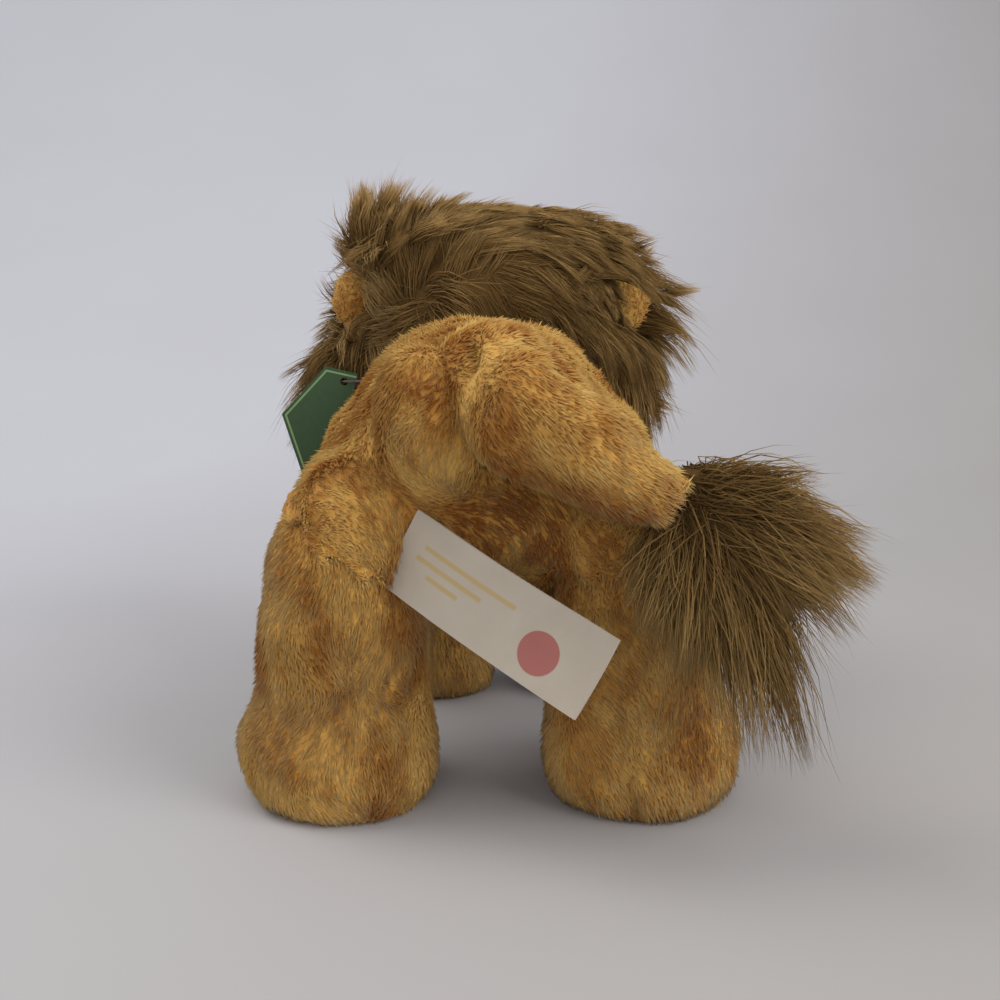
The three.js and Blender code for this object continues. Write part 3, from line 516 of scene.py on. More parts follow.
def plush_material(name, shaded_colour, middle, highlight_colour, sheen, patch_mm=16):
    """Short polyester pile, mottled in patches: painted deeper in tone where the nap stands, as painted
    shade, and paler where it lies flat, as painted sheen. Each fibre is painted paler towards its tip,
    as a painted highlight, with a soft sheen at the edges of the form."""
    material, tree = new_material(name)
    coords = add_node(tree, "TexCoord")
    streaks = add_node(tree, "Mapping", {"Vector": coords.outputs["Object"], "Scale": (1.0, 1.0, 0.6)})
    patches = add_node(tree, "TexNoise", {
        "Vector": streaks, "Scale": per_mm / patch_mm, "Detail": 4.0, "Roughness": 0.6})
    # Painted shade and sheen: patches of the pile are painted deeper and paler, as standing and flat nap
    # look in the light.
    mottled_nap_shade = add_node(tree, "MapRange", {"Value": patches, "From Min": 0.42, "From Max": 0.57})
    tone = add_node(tree, "Attribute", attribute_name="tone")
    painted_lie_sheen = add_node(tree, "Math", {0: mottled_nap_shade, 1: tone}, operation="ADD")
    painted_lie_sheen = add_node(tree, "Math", {0: painted_lie_sheen, 1: 0.5}, operation="MULTIPLY")
    ground = add_node(tree, "Mix", {0: painted_lie_sheen, 6: linear(shaded_colour), 7: linear(middle)}, data_type="RGBA")
    # Painted highlight: each fibre is painted paler towards its tip, more where the nap lies flat.
    along = add_node(tree, "Attribute", attribute_name="along")
    lift = add_node(tree, "Math", {0: along, 1: painted_lie_sheen}, operation="MULTIPLY")
    fibre = add_node(tree, "Mix", {0: lift, 6: ground, 7: linear(highlight_colour)}, data_type="RGBA")
    grain = add_node(tree, "TexNoise", {
        "Vector": coords.outputs["Object"], "Scale": 2.2 * per_mm, "Detail": 2.0})
    bump = add_node(tree, "Bump", {"Height": grain, "Strength": 0.3, "Distance": 0.0003})
    fibre_shader(tree, fibre, roughness=0.8, specular=0.2, sheen=sheen, through=0.3, normal=bump)
    return material


# Polyester fibres shine a little along the edges of the form and glow where light passes their tips.
golden = plush_material(
    "golden short-pile plush", shaded_colour="#b0661a", middle="#eab046", highlight_colour="#ffe99c", sheen=0.45)

hip = {side: Vector(joints[side + "_hind_swing"]["pos_m"]) for side in ("left", "right")}
shoulder = {side: Vector(joints[side + "_front_swing"]["pos_m"]) for side in ("left", "right")}
tail_root = Vector(joints["tail_lift"]["pos_m"])
neck = Vector(joints["head_turn"]["pos_m"])

select_only()
bpy.ops.mesh.primitive_uv_sphere_add(
    segments=48, ring_count=32, radius=1, location=tail_root + Vector((0.0179, 0.0011, -0.012)),
    rotation=(0, math.radians(21), 0), scale=(0.017, 0.020, 0.025))
rump_pad = bpy.context.object
bpy.ops.object.transform_apply(location=True, rotation=True, scale=True)
torso = stuffed_skin("torso_plush", ["torso_cover", "torso_wadding"], padding=[rump_pad])
lump(torso, height=0.0009, wavelength=0.05, seed=3)
belly_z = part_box("torso_cover")[0].z
belly_seam = [(mid_x, y, belly_z) for y in np.linspace(neck.y + 0.03, rump_y - 0.03, 8)]
dent(torso, belly_seam, depth=0.0016, half_width=0.0022)
left_flank = [(mid_x + 0.048, tail_root.y - ahead, 0.132) for ahead in (0.072, 0.012)]
right_flank = [(mid_x - 0.045, tail_root.y - ahead, z) for ahead, z in ((0.092, 0.133), (0.008, 0.131))]
shoulders_tree = tree_of(torso)
dent(torso, left_flank, depth=0.0045, half_width=0.015)
dent(torso, right_flank, depth=0.0080, half_width=0.018)
for leg_name in ("left_hind", "right_hind", "left_front", "right_front"):
    tuck(torso, frame["nodes"][leg_name + "_leg_cover"])
torso_tree = tree_of(torso)
short_pile(torso, lambda places: (0.0, 1.0, -0.45), drawn(
    "left_hind_leg_cover", "right_hind_leg_cover", "left_front_leg_cover", "right_front_leg_cover",
    "tail_cover", "mane_nape", "mane_bib", "head_cover"), seed=11)
torso.data.materials.append(golden)
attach(torso, "torso")
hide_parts("torso_cover", "torso_wadding")

# Each leg is a tube of the same plush that widens into a rounded paw, closed by an oval sole.
# Pellets weigh down the paw, fibre fills the rest, and the seams show at the back and round the sole.
# The sole is shorn close, so it is paler and duller than the pile.
sole_plush = plush_material(
    "shorn sole plush", shaded_colour="#b07f38", middle="#d9ac62", highlight_colour="#e8c88c", sheen=0.2)


def stand(piece):
    """Nothing of a piece goes below the table."""
    points = points_of(piece)
    points[:, 2] = np.maximum(points[:, 2], 0.0)
    set_points(piece, points)


for side in ("left", "right"):
    for row in ("hind", "front"):
        leg_name = side + "_" + row
        leg = stuffed_skin(leg_name + "_leg_plush", [
            leg_name + "_leg_cover", leg_name + "_sole", leg_name + "_pellet_bag", leg_name + "_wadding"])
        lump(leg, height=0.0008, wavelength=0.045, seed=20 + len(leg_name))
        low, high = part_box(leg_name + "_leg_cover")
        sole_low, sole_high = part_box(leg_name + "_sole")
        middle = (sole_low + sole_high) / 2
        half = (high - low) / 2
        sole_rim = [(middle.x + math.cos(turn) * half.x, middle.y + math.sin(turn) * half.y, 0.003)
                    for turn in np.linspace(0, 2 * math.pi, 33)]
        dent(leg, sole_rim, depth=0.0012, half_width=0.0012)
        points = points_of(leg)
        from_middle = np.hypot((points[:, 0] - middle.x) * 2 / (sole_high.x - sole_low.x),
                               (points[:, 1] - middle.y) * 2 / (sole_high.y - sole_low.y))
        sole_top = sole_high.z + 0.0004
        points[(from_middle < 1) & (points[:, 2] < sole_top), 2] = sole_top
        set_points(leg, points)
        inwards = -1 if side == "left" else 1
        top = hip[side] if row == "hind" else shoulder[side]
        seam_in = 0.020 if side == "left" else 0.009
        back_seam = [
            (top.x + inwards * seam_in, high.y - 0.018, 0.080),
            (middle.x + inwards * (seam_in + 0.001), high.y - 0.010, 0.045),
            (middle.x + inwards * seam_in, high.y - 0.006, 0.018),
            (middle.x + inwards * (seam_in - 0.004), high.y - 0.010, 0.003)]
        heel_fold = [
            (top.x - inwards * 0.027, high.y - 0.038, 0.038),
            (top.x - inwards * 0.025, high.y - 0.026, 0.031),
            (top.x - inwards * 0.018, high.y - 0.015, 0.024)]
        if row == "hind":
            dent(leg, back_seam, depth=0.0024, half_width=0.0020)
            dent(leg, heel_fold, depth=0.0026, half_width=0.0024)
        short_pile(leg, lambda places: (0.0, 0.15, -1.0), [torso_tree], seed=30 + len(leg_name),
                   keep=lambda places: places[:, 2] > 0.0012)
        stand(leg)
        leg.data.materials.append(golden)
        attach(leg, leg_name + "_leg")
        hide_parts(leg_name + "_leg_cover", leg_name + "_pellet_bag", leg_name + "_wadding")
        sole = stuffed_skin(leg_name + "_sole_suede", [leg_name + "_sole"], voxel=0.0008, rounding=4)
        stand(sole)
        add_facts(sole, along=0.6, tone=0.6)
        sole.data.materials.append(sole_plush)
        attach(sole, leg_name + "_leg")
        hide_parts(leg_name + "_sole")

# The tail is a wide tube sewn into the rump. It is stuffed full at its root, where the cloth folds,
# and it narrows along its fall over the right thigh to the straight seam that holds the tuft.
tail = stuffed_skin("tail_plush", ["tail_cover", "tail_wadding"])
lump(tail, height=0.0007, wavelength=0.04, seed=5)
tail_low, tail_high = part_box("tail_cover")
tail_end = Vector((tail_low.x + 0.006, tail_high.y - 0.022, tail_low.z + 0.007))
root_fold = [
    (tail_root.x + 0.0095, tail_root.y + 0.008, tail_root.z + 0.019),
    (tail_root.x + 0.006, tail_root.y + 0.018, tail_root.z + 0.008),
    (tail_root.x - 0.0015, tail_root.y + 0.022, tail_root.z - 0.012)]
dent(tail, root_fold, depth=0.0032, half_width=0.0028)
side_fold = [
    (tail_root.x - 0.011, tail_root.y + 0.018, tail_root.z + 0.015),
    (tail_root.x - 0.016, tail_root.y + 0.026, tail_root.z + 0.004)]
dent(tail, side_fold, depth=0.0024, half_width=0.0026)
upper_side = [tail_root + Vector((-0.026, 0.022, 0.013)), tail_root + Vector((-0.047, 0.025, -0.005))]
dent(tail, upper_side, depth=0.0095, half_width=0.015)
tail_fall = np.array((tail_end - tail_root).normalized())
points = points_of(tail)
along_fall = (points - np.array(tail_root)) @ tail_fall
seam_at = along_fall.max() + 0.002
stretch = 0.007
drawn_out = along_fall + stretch * np.clip((along_fall - seam_at + 0.030) / 0.028, 0, 1) ** 2
points += tail_fall * (np.minimum(drawn_out, seam_at) - along_fall)[:, None]
set_points(tail, points)
short_pile(tail, lambda places: tail_fall, [torso_tree] + drawn("tail_tuft"), seed=41, ruffle=0.35)
tail.data.materials.append(golden)
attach(tail, "tail")
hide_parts("tail_cover", "tail_wadding")

# The head is a ball of the short golden plush, packed firmly with fibre through the neck. Only its
# face shows inside the mane, so only there it has its pile.
head_low, head_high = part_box("head_cover")
head_radius = (head_high.x - head_low.x) / 2
head_centre = Vector((mid_x, (head_low.y + head_high.y) / 2, neck.z))
crown_height = head_high.z - neck.z
jaw_height = neck.z - head_low.z
head = stuffed_skin("head_plush", ["head_cover", "head_wadding"])
lump(head, height=0.0005, wavelength=0.04, seed=6)
short_pile(head, lambda places: places - np.array(head_centre + Vector((0, -head_radius * 1.2, -0.01))),
           drawn("muzzle", "left_eye", "right_eye"), seed=51, ruffle=0.2, length=0.0036,
           keep=lambda places: places[:, 1] < head_centre.y + 0.004)
head.data.materials.append(golden)
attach(head, "head")
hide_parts("head_cover", "head_wadding")

# The muzzle is a pad of cream plush with a shorter pile, sewn to the face over its own filling. A
# stitch pulled through from behind draws it in along a line down its middle.
# The cream pile is finer and paler to the root, so its shadows stay light.
cream = plush_material(
    "cream short-pile plush", shaded_colour="#d9bd88", middle="#efdcb2", highlight_colour="#fffaea", sheen=0.3)
muzzle = stuffed_skin("muzzle_plush", ["muzzle"], voxel=0.0014, rounding=6)
muzzle_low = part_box("muzzle")[0]
nose_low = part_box("nose")[0]
mouth_line = [
    (mid_x, muzzle_low.y, nose_low.z),
    (mid_x, muzzle_low.y, (nose_low.z + muzzle_low.z) / 2),
    (mid_x, muzzle_low.y + 0.008, muzzle_low.z + 0.003)]
dent(muzzle, mouth_line, depth=0.0022, half_width=0.0026)
face_tree = tree_of(muzzle)
short_pile(muzzle, lambda places: places - np.array((mid_x, muzzle_low.y - 0.01, nose_low.z)),
           drawn("nose", "head_cover"), seed=61, length=0.0028, width=0.0003, ruffle=0.15)
muzzle.data.materials.append(cream)
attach(muzzle, "head")
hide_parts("muzzle")

# The mane is five sewn panels of long brown pile. Its fibres are 2 to 4 cm long, dark at the root and
# pale brown at the tip. They clump into wisps that stand up at the left, sweep over the crown to the
# right and hang at both sides. Above the nape the fibres are painted darker, as painted shade.
# Its long fibres are duller than the short pile and let some light through; the tips of the paler
# wisps are painted paler still, as a painted highlight.
long_pile, tree = new_material("long-pile plush")
along = add_node(tree, "Attribute", attribute_name="along")
tone = add_node(tree, "Attribute", attribute_name="tone")
shade = add_node(tree, "Mix", {0: tone, 6: linear("#7f6032"), 7: linear("#b8945a")}, data_type="RGBA")
root_to_tip = add_node(tree, "Mix", {0: along, 6: linear("#5a4220"), 7: shade}, data_type="RGBA")
# Painted highlight: the outer half of each fibre is painted paler, more on the paler wisps.
tip_share = add_node(tree, "MapRange", {"Value": along, "From Min": 0.5, "From Max": 1.0})
painted_tip_highlight = add_node(tree, "Math", {0: tip_share, 1: tone}, operation="MULTIPLY")
hair_colour = add_node(tree, "Mix", {0: painted_tip_highlight, 6: root_to_tip, 7: linear("#d6b478")}, data_type="RGBA")
fibre_shader(tree, hair_colour, roughness=0.6, specular=0.12, sheen=0.1, through=0.3)


def outwards(polar, turn):
    """The way out of the head at an angle from its back and a turn from its left side, in degrees."""
    polar, turn = np.radians(polar), np.radians(turn)
    return np.stack([np.sin(polar) * np.cos(turn), np.cos(polar), np.sin(polar) * np.sin(turn)], axis=-1)


def on_head(out, rise):
    """The places that lie out of the head's middle some way, at a height over its cover."""
    height = np.where(out[:, 2] > 0, crown_height, jaw_height) + rise
    level = np.hypot(out[:, 0], out[:, 1]) / (head_radius + rise)
    distance = 1 / np.hypot(level, out[:, 2] / height)
    return np.array(head_centre) + out * distance[:, None]


def wisps_of(places, count, rng):
    """The number of the wisp that each fibre belongs to, and the fibre that leads that wisp."""
    leaders = rng.choice(len(places), count, replace=False)
    wisp = np.zeros(len(places), int)
    for start in range(0, len(places), 2000):
        some = places[start:start + 2000]
        wisp[start:start + 2000] = ((some[:, None] - places[leaders]) ** 2).sum(axis=2).argmin(axis=1)
    return wisp, leaders[wisp]


def bent(roots, knees, tips, curl, rng):
    """Fibres that bend once between root and tip, with a slight curl of their own."""
    steps = np.linspace(0, 1, hair_stops)[None, :, None]
    lines = (1 - steps) ** 2 * roots[:, None] + 2 * steps * (1 - steps) * knees[:, None]
    lines += steps ** 2 * tips[:, None]
    aside = unit(np.cross(tips - roots, rng.normal(size=roots.shape)))[:, None]
    phase = rng.uniform(0, 2 * math.pi, (len(roots), 1, 1))
    return lines + aside * curl * steps * np.sin(phase + steps * 4)


def gathered(lines, leader, share):
    """Draws each fibre towards the leader of its wisp, more and more towards the tip."""
    draw = np.linspace(0, 1, lines.shape[1])[None, :, None] ** 1.2
    return lines + (lines[leader] - lines) * draw * share[:, None, None]


def out_of(tree, lines, reach=0.03, gap=0.0012):
    """Lifts fibres that would run under the cloth beside them until they lie on it."""
    for line in lines:
        for i in range(1, len(line)):
            place, normal, _, _ = tree.find_nearest(Vector(line[i]), reach)
            if place is not None and (Vector(line[i]) - place).dot(normal) < gap:
                line[i] = place + normal * gap
    return lines


hair_stops = 5
hair_width = 0.00030
hair_taper = np.array([0.75, 1.0, 0.8, 0.5])
fibres_per_wisp = 38
loose_share = 0.13
cut_short = 0.32
fullest = 98
nape_rise = 0.0105
# Degrees from the back of the head: how much fibres there take part in the ruff.
ring_polars = [20, 55, 80, 100, 112, 124]
ring_shares = [0, 0.3, 0.85, 1, 0.9, 0.6]
# Degrees round the head from its left side: how far the ruff reaches there, and which way it flows.
ruff_turns = [-40, -21, -12, 2, 10, 20, 28, 36, 44, 52, 60, 72, 94, 120, 144, 165, 178, 203, 222, 250, 290]
ruff_reaches_mm = [74, 91, 93, 86, 76, 70, 80, 90, 87, 70, 66, 61, 60, 76, 81, 87, 78, 84, 80, 62, 60]
flow_turns = [-40, -20, 0, 15, 30, 45, 60, 72, 85, 100, 120, 144, 165, 180, 203, 222, 250, 290, 320]
flow_angles = [-95, -65, -40, 10, 60, 75, 95, 120, 160, 178, 182, 188, 205, 235, 255, 262, 268, 272, 265]
# The part of each ear that the hair leaves bare: how far out its middle lies, and its radius.
ear_open = {"left": (0.0080, 0.0095), "right": (-0.0015, 0.0085)}
# Where the mane is painted darker above the nape, as painted shade: its middle and its size.
nape_shade_centre = np.array((mid_x - 0.004, head_centre.y + head_radius, neck.z + 0.022))
nape_shade_size = np.array((0.030, 0.045, 0.015))
ear_cups = {}
for side in ("left", "right"):
    ear_low, ear_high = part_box(side + "_ear")
    ear_cups[side] = (np.array((ear_low + ear_high) / 2), np.array((ear_high - ear_low) / 2))


def met_by_ears(lines, flop=0.0):
    """Which fibres run through an ear or its room to flop, and which hang over the part that shows."""
    through = np.zeros(len(lines), bool)
    over = np.zeros(len(lines), bool)
    for side, (middle, half) in ear_cups.items():
        offset = lines - middle
        room = half * 1.08 + np.array((0, flop, 0))
        through |= (((offset / room) ** 2).sum(axis=2) < 1).any(axis=1)
        shift, radius = ear_open[side]
        aside = offset[:, :, 0] - np.sign(middle[0] - mid_x) * shift
        over |= ((np.hypot(aside, offset[:, :, 2]) < radius) & (offset[:, :, 1] > 0)).any(axis=1)
    return through, over


def mane_hairs(name, count, polars, turns, seed):
    """Each wisp has its own lean and reach, and most of its fibres meet at its tip."""
    rng = np.random.default_rng(seed)
    polar = np.degrees(np.arccos(rng.uniform(*sorted(np.cos(np.radians(polars))), count)))
    turn = rng.uniform(*turns, count)
    out = outwards(polar, turn)
    roots = on_head(out, np.where(polar > 114, 0.0012, 0.0035))
    wisp, leader = wisps_of(roots, count // fibres_per_wisp, rng)
    wisp_luck = rng.random(count)[wisp]
    wisp_lean = rng.normal(size=(count, 3))[wisp]
    loose = rng.random(count) < loose_share
    turn = (turn + 90) % 360 - 90
    ring = np.interp(polar, ring_polars, ring_shares)
    standing = np.interp(turn, ruff_turns, ruff_reaches_mm, period=360) / 1000 - head_radius
    rise = nape_rise * (1 - ring) + standing * ring * (0.72 + 0.38 * wisp_luck)
    rise *= np.where(loose, rng.uniform(0.8, 1.2, count), rng.uniform(0.9, 1.04, count))
    angle = np.radians(np.interp(turn, flow_turns, flow_angles))
    flow = np.stack([np.cos(angle), 0.45 * ring, np.sin(angle)], axis=1)
    nape = np.stack([out[:, 0] * 0.6, np.zeros(count), -np.ones(count)], axis=1)
    share = np.clip((polar - 12) / 30, 0, 1)[:, None]
    flow = flow * share + nape * (1 - share)
    flow += wisp_lean * 0.30 + rng.normal(size=(count, 3)) * 0.07
    flow = unit(flow - (flow * out).sum(axis=1)[:, None] * out)
    slide = (rng.uniform(0.016, 0.027, count) * (1.15 - 0.35 * ring))[:, None]
    tip_out = unit(out * head_radius + flow * slide)
    tip_polar = np.degrees(np.arccos(tip_out[:, 1]))
    tip_turn = np.degrees(np.arctan2(tip_out[:, 2], tip_out[:, 0]))
    furthest = np.where(polar > fullest, fullest + (polar - fullest) * 0.45, 180)
    tips = on_head(outwards(np.minimum(tip_polar, furthest), tip_turn), rise)
    tips[:, 2] -= rise * 0.08
    knees = on_head(unit(out * head_radius + flow * slide * 0.25), rise * 0.72)
    lines = bent(roots, knees, tips, curl=0.0012, rng=rng)
    lines = gathered(lines, leader, share=np.where(loose, 0.1, rng.uniform(0.45, 0.88, count)))
    through, over = met_by_ears(lines, flop=0.006)
    short = through | over
    lines[short] = lines[short, :1] + (lines[short] - lines[short, :1]) * cut_short
    free = ~met_by_ears(lines)[0]
    lines, loose, wisp_luck = lines[free], loose[free], wisp_luck[free]
    lines = out_of(shoulders_tree, lines)
    widths = hair_width * rng.uniform(0.6, 1.2, (len(lines), 1)) * np.where(loose, 0.7, 1)[:, None]
    # Painted shade: fibres above the nape take a darker tone.
    painted_nape_shade = np.exp(-(((lines[:, 0] - nape_shade_centre) / nape_shade_size) ** 2).sum(axis=1))
    tones = np.clip(0.55 * wisp_luck + 0.45 * rng.random(len(lines)) - 0.55 * painted_nape_shade, 0, 1)
    return hairs(name, lines, hair_taper[None] * widths, tones)


def mane_backing(name, polars, turns, rise=0.006, thickness=0.004):
    """The panel's cloth: a patch of a ball over the head, with a wall."""
    select_only()
    bpy.ops.mesh.primitive_uv_sphere_add(
        segments=72, ring_count=48, radius=1, rotation=(math.radians(90), 0, 0))
    patch = bpy.context.object
    patch.name = name
    bpy.ops.object.transform_apply(location=False, rotation=True, scale=False)
    middles = np.array([tuple(face.center) for face in patch.data.polygons])
    face_polar = np.degrees(np.arccos(np.clip(unit(middles)[:, 1], -1, 1)))
    face_turn = (np.degrees(np.arctan2(middles[:, 2], middles[:, 0])) - turns[0]) % 360 + turns[0]
    outside = (face_polar < polars[0]) | (face_polar > polars[1]) | (face_turn > turns[1])
    cut_away(patch, "FACE", outside)
    set_points(patch, on_head(unit(points_of(patch)), rise))
    modify(patch, "SOLIDIFY", thickness=thickness)
    bpy.ops.object.shade_smooth()
    add_facts(patch, along=0.0, tone=0.2)
    return patch


# Each panel: its fibres, its angles from the back of the head, and its turns round the head.
mane_panels = {
    "mane_left": (8600, (50, 124), (-40, 38)),
    "mane_crown": (8900, (50, 124), (38, 142)),
    "mane_right": (8600, (50, 124), (142, 220)),
    "mane_bib": (4400, (50, 124), (220, 320)),
    "mane_nape": (7600, (0, 50), (-180, 180)),
}
for index, (panel, (count, polars, turns)) in enumerate(mane_panels.items()):
    backing = mane_backing(panel + "_pile", (polars[0], min(polars[1], 116)), turns)
    fur = mane_hairs(panel + "_fur", count, polars, turns, seed=70 + index)
    join_into(backing, fur)
    backing.data.materials.append(long_pile)
    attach(backing, "head")
    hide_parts(panel)

# The tuft is a tied bundle of the same long pile, sewn into the tail's end. It fans out to the side
# and down over the thigh, thick and dark at the seam and open at its tips.
tuft_low, tuft_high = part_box("tail_tuft")
knob = np.array((tail_low.x - 0.0005, (tuft_low.y + tuft_high.y) / 2 - 0.003, tail_low.z + 0.0045))
knob_radius = 0.0092
tuft_count = 8600
fibres_per_strand = 40
# Each lock: its direction in degrees, its length in mm, its share of the fibres and its lean to the back.
locks = np.array([
    (154, 21, 4, 0.10), (166, 38, 2, 0.25), (178, 30, 6, 0.05), (184, 40, 6, 0.25), (193, 54, 4, 0.10),
    (198, 47, 9, 0.30), (205, 60, 10, 0.12), (212, 53, 9, 0.28), (221, 64, 3, 0.05), (228, 46, 9, 0.25),
    (238, 64, 8, 0.10), (246, 86, 4, 0.16), (256, 79, 4, 0.22), (252, 54, 7, 0.30), (264, 50, 6, 0.20),
    (274, 52, 5, 0.26), (287, 44, 5, 0.24), (302, 36, 2, 0.22)])
rng = np.random.default_rng(90)
lock = rng.choice(len(locks), tuft_count, p=locks[:, 2] / locks[:, 2].sum())
loose = rng.random(tuft_count) < loose_share
lock_turn = np.radians(locks[:, 0])
lock_way = unit(np.stack([np.cos(lock_turn), locks[:, 3], np.sin(lock_turn)], axis=1))
stray = rng.normal(size=(tuft_count, 3)) * np.where(loose, 0.17, 0.05)[:, None]
heading = unit(lock_way[lock] + stray)
reach = locks[lock, 1] / 1000 * np.where(loose, rng.uniform(0.5, 1.05, tuft_count),
                                         1 - 0.45 * rng.random(tuft_count) ** 1.6)
side_slip = rng.normal(size=(tuft_count, 3))
roots = knob + unit(heading * 0.8 + rng.normal(size=(tuft_count, 3)) * 0.55) * knob_radius
roots += rng.normal(size=(tuft_count, 3)) * 0.001
tips = knob + heading * reach[:, None]
tips += side_slip * (0.0006 + 0.0042 * (1 - reach / locks[lock, 1] * 1000))[:, None]
knees = knob + unit(heading + np.array((-0.10, 0.06, 0.16))) * (reach * 0.5)[:, None] + side_slip * 0.0052
knees += waves(knees, wavelength=0.016, seed=93) * 0.0015
lines = bent(roots, knees, tips, curl=0.0022, rng=rng)
_, leader = wisps_of(knees, tuft_count // fibres_per_strand, rng)
same_lock = lock[leader] == lock
lines = gathered(lines, leader, share=np.where(loose | ~same_lock, 0, rng.uniform(0.2, 0.6, tuft_count)))
luck = rng.random(len(locks))[lock]
widths = hair_width * rng.uniform(0.5, 1.1, (tuft_count, 1)) * np.where(loose, 0.65, 1)[:, None]
tones = np.clip(0.4 * luck + 0.4 * rng.random(tuft_count) + 0.3 * (locks[lock, 0] > 260), 0, 1)
tuft = hairs("tail_tuft_pile", lines, hair_taper[None] * widths, tones)
select_only()
bpy.ops.mesh.primitive_ico_sphere_add(subdivisions=3, radius=knob_radius, location=knob)
core = bpy.context.object
bpy.ops.object.transform_apply(location=True, rotation=True, scale=True)
lump(core, height=0.0006, wavelength=0.01, seed=92)
add_facts(core, along=0.0, tone=0.2)
join_into(tuft, core)
tuft.data.materials.append(long_pile)
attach(tuft, "tail")
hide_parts("tail_tuft")

# The ears are cupped: a back of the golden plush and a cream lining, sewn round and turned so that
# their raw edges lie inside the rim. Each is sewn into the head's cover along its base.
for side in ("left", "right"):
    ear = stuffed_skin(side + "_ear_plush", [side + "_ear"], voxel=0.0011, rounding=5)
    base = np.array(joints[side + "_ear_flop"]["pos_m"])
    short_pile(ear, lambda places: places - base, [], seed=95, length=0.0034, ruffle=0.2)
    ear.data.materials.append(golden)
    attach(ear, side + "_ear_body")
    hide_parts(side + "_ear")
    lining = stuffed_skin(side + "_ear_lining_plush", [side + "_ear_lining"], voxel=0.0009, rounding=3)
    short_pile(lining, lambda places: places - base, drawn(side + "_ear"), seed=97, length=0.0024,
               width=0.0003, ruffle=0.2)
    lining.data.materials.append(cream)
    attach(lining, side + "_ear_body")
    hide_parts(side + "_ear_lining")

# The eyes are safety eyes: a polished amber dome with a black pupil under clear plastic. Each has a
# shank through the cover, and a nylon washer is pressed on it inside the head. The clear coat gives
# the amber its depth and a sharp highlight.
pupil_edge = 0.47
glass, tree = new_material("clear-coated amber plastic")
from_middle = add_node(tree, "Attribute", attribute_name="from_middle")
eye_coords = add_node(tree, "TexCoord")
flecks = add_node(tree, "TexNoise", {
    "Vector": eye_coords.outputs["Object"], "Scale": 0.9 * per_mm, "Detail": 3.0})
uneven = add_node(tree, "MapRange", {"Value": flecks, "To Min": -0.05, "To Max": 0.05})
zone = add_node(tree, "Math", {0: from_middle, 1: uneven}, operation="ADD")
iris = add_node(tree, "MapRange", {"Value": zone, "From Min": 0.46, "From Max": 0.92})
amber = add_node(tree, "Mix", {0: iris, 6: linear("#7a4718"), 7: linear("#2a1608")}, data_type="RGBA")
pupil = add_node(tree, "Math", {0: from_middle, 1: pupil_edge}, operation="LESS_THAN")
eye_colour = add_node(tree, "Mix", {0: pupil, 6: amber, 7: linear("#060403")}, data_type="RGBA")
eye_shader = add_node(tree, "BsdfPrincipled", {
    "Base Color": eye_colour, "Roughness": 0.3, "Specular IOR Level": 0.2, "Coat Weight": 0.7,
    "Coat Roughness": 0.02})
add_node(tree, "OutputMaterial", {"Surface": eye_shader})


def grained_material(name, kind, pattern, dark, pale, finish, bump=0, **settings):
    """Two close tones that follow one fine pattern, which may also raise the surface a little."""
    material, tree = new_material(name)
    coords = add_node(tree, "TexCoord")
    grain = add_node(tree, kind, {"Vector": coords.outputs["Object"], **pattern}, **settings)
    tones = add_node(tree, "Mix", {0: grain, 6: linear(dark), 7: linear(pale)}, data_type="RGBA")
    surface = {"Base Color": tones, **finish}
    if bump:
        surface["Normal"] = add_node(tree, "Bump", {
            "Height": grain, "Strength": bump, "Distance": 0.0001})
    shader = add_node(tree, "BsdfPrincipled", surface)
    add_node(tree, "OutputMaterial", {"Surface": shader})
    return material


# The washers' nylon is milky: it lets a little light in, and its moulded face is faintly rough.
nylon = grained_material(
    "moulded nylon", "TexNoise", {"Scale": 0.7 * per_mm, "Detail": 3.0}, "#dcd9cf", "#efede6",
    {"Roughness": 0.45, "Subsurface Weight": 0.1, "Subsurface Radius": (0.001, 0.001, 0.001)}, bump=0.2)


def moulded(node_name, name, bevel=0, levels=0, sharp=math.radians(40)):
    """A moulded or cut part: the drawn solid with its edges broken and its facets rounded."""
    part = copy_of([node_name], name)
    with editing("SELECT"):
        bpy.ops.mesh.remove_doubles(threshold=merge_gap)
        bpy.ops.mesh.dissolve_limited(angle_limit=math.radians(1))
    if bevel:
        modify(part, "BEVEL", width=bevel, segments=3, angle_limit=sharp)
    if levels:
        modify(part, "SUBSURF", levels=levels)
    bpy.ops.object.shade_smooth_by_angle(angle=sharp)
    return part


for side in ("left", "right"):
    eye = stuffed_skin(side + "_eye_button", [side + "_eye"], voxel=0.00035, rounding=8)
    points = points_of(eye)
    eye_middle = points.mean(axis=0)
    _, main_axes = np.linalg.eigh(np.cov((points - eye_middle).T))
    eye_out = main_axes[:, 2] * np.sign(main_axes[:, 2] @ (eye_middle - np.array(head_centre)))
    depth = points @ eye_out
    apex = points[depth > depth.max() - 0.0004].mean(axis=0)
    sideways = points - apex - ((points - apex) @ eye_out)[:, None] * eye_out
    radius = np.linalg.norm(sideways, axis=1)
    add_facts(eye, from_middle=radius / radius.max())
    eye.data.materials.append(glass)
    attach(eye, "head")
    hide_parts(side + "_eye")
    washer = moulded(side + "_eye_washer", side + "_eye_lock", bevel=0.0002)
    washer.data.materials.append(nylon)
    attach(washer, "head")
    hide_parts(side + "_eye_washer")

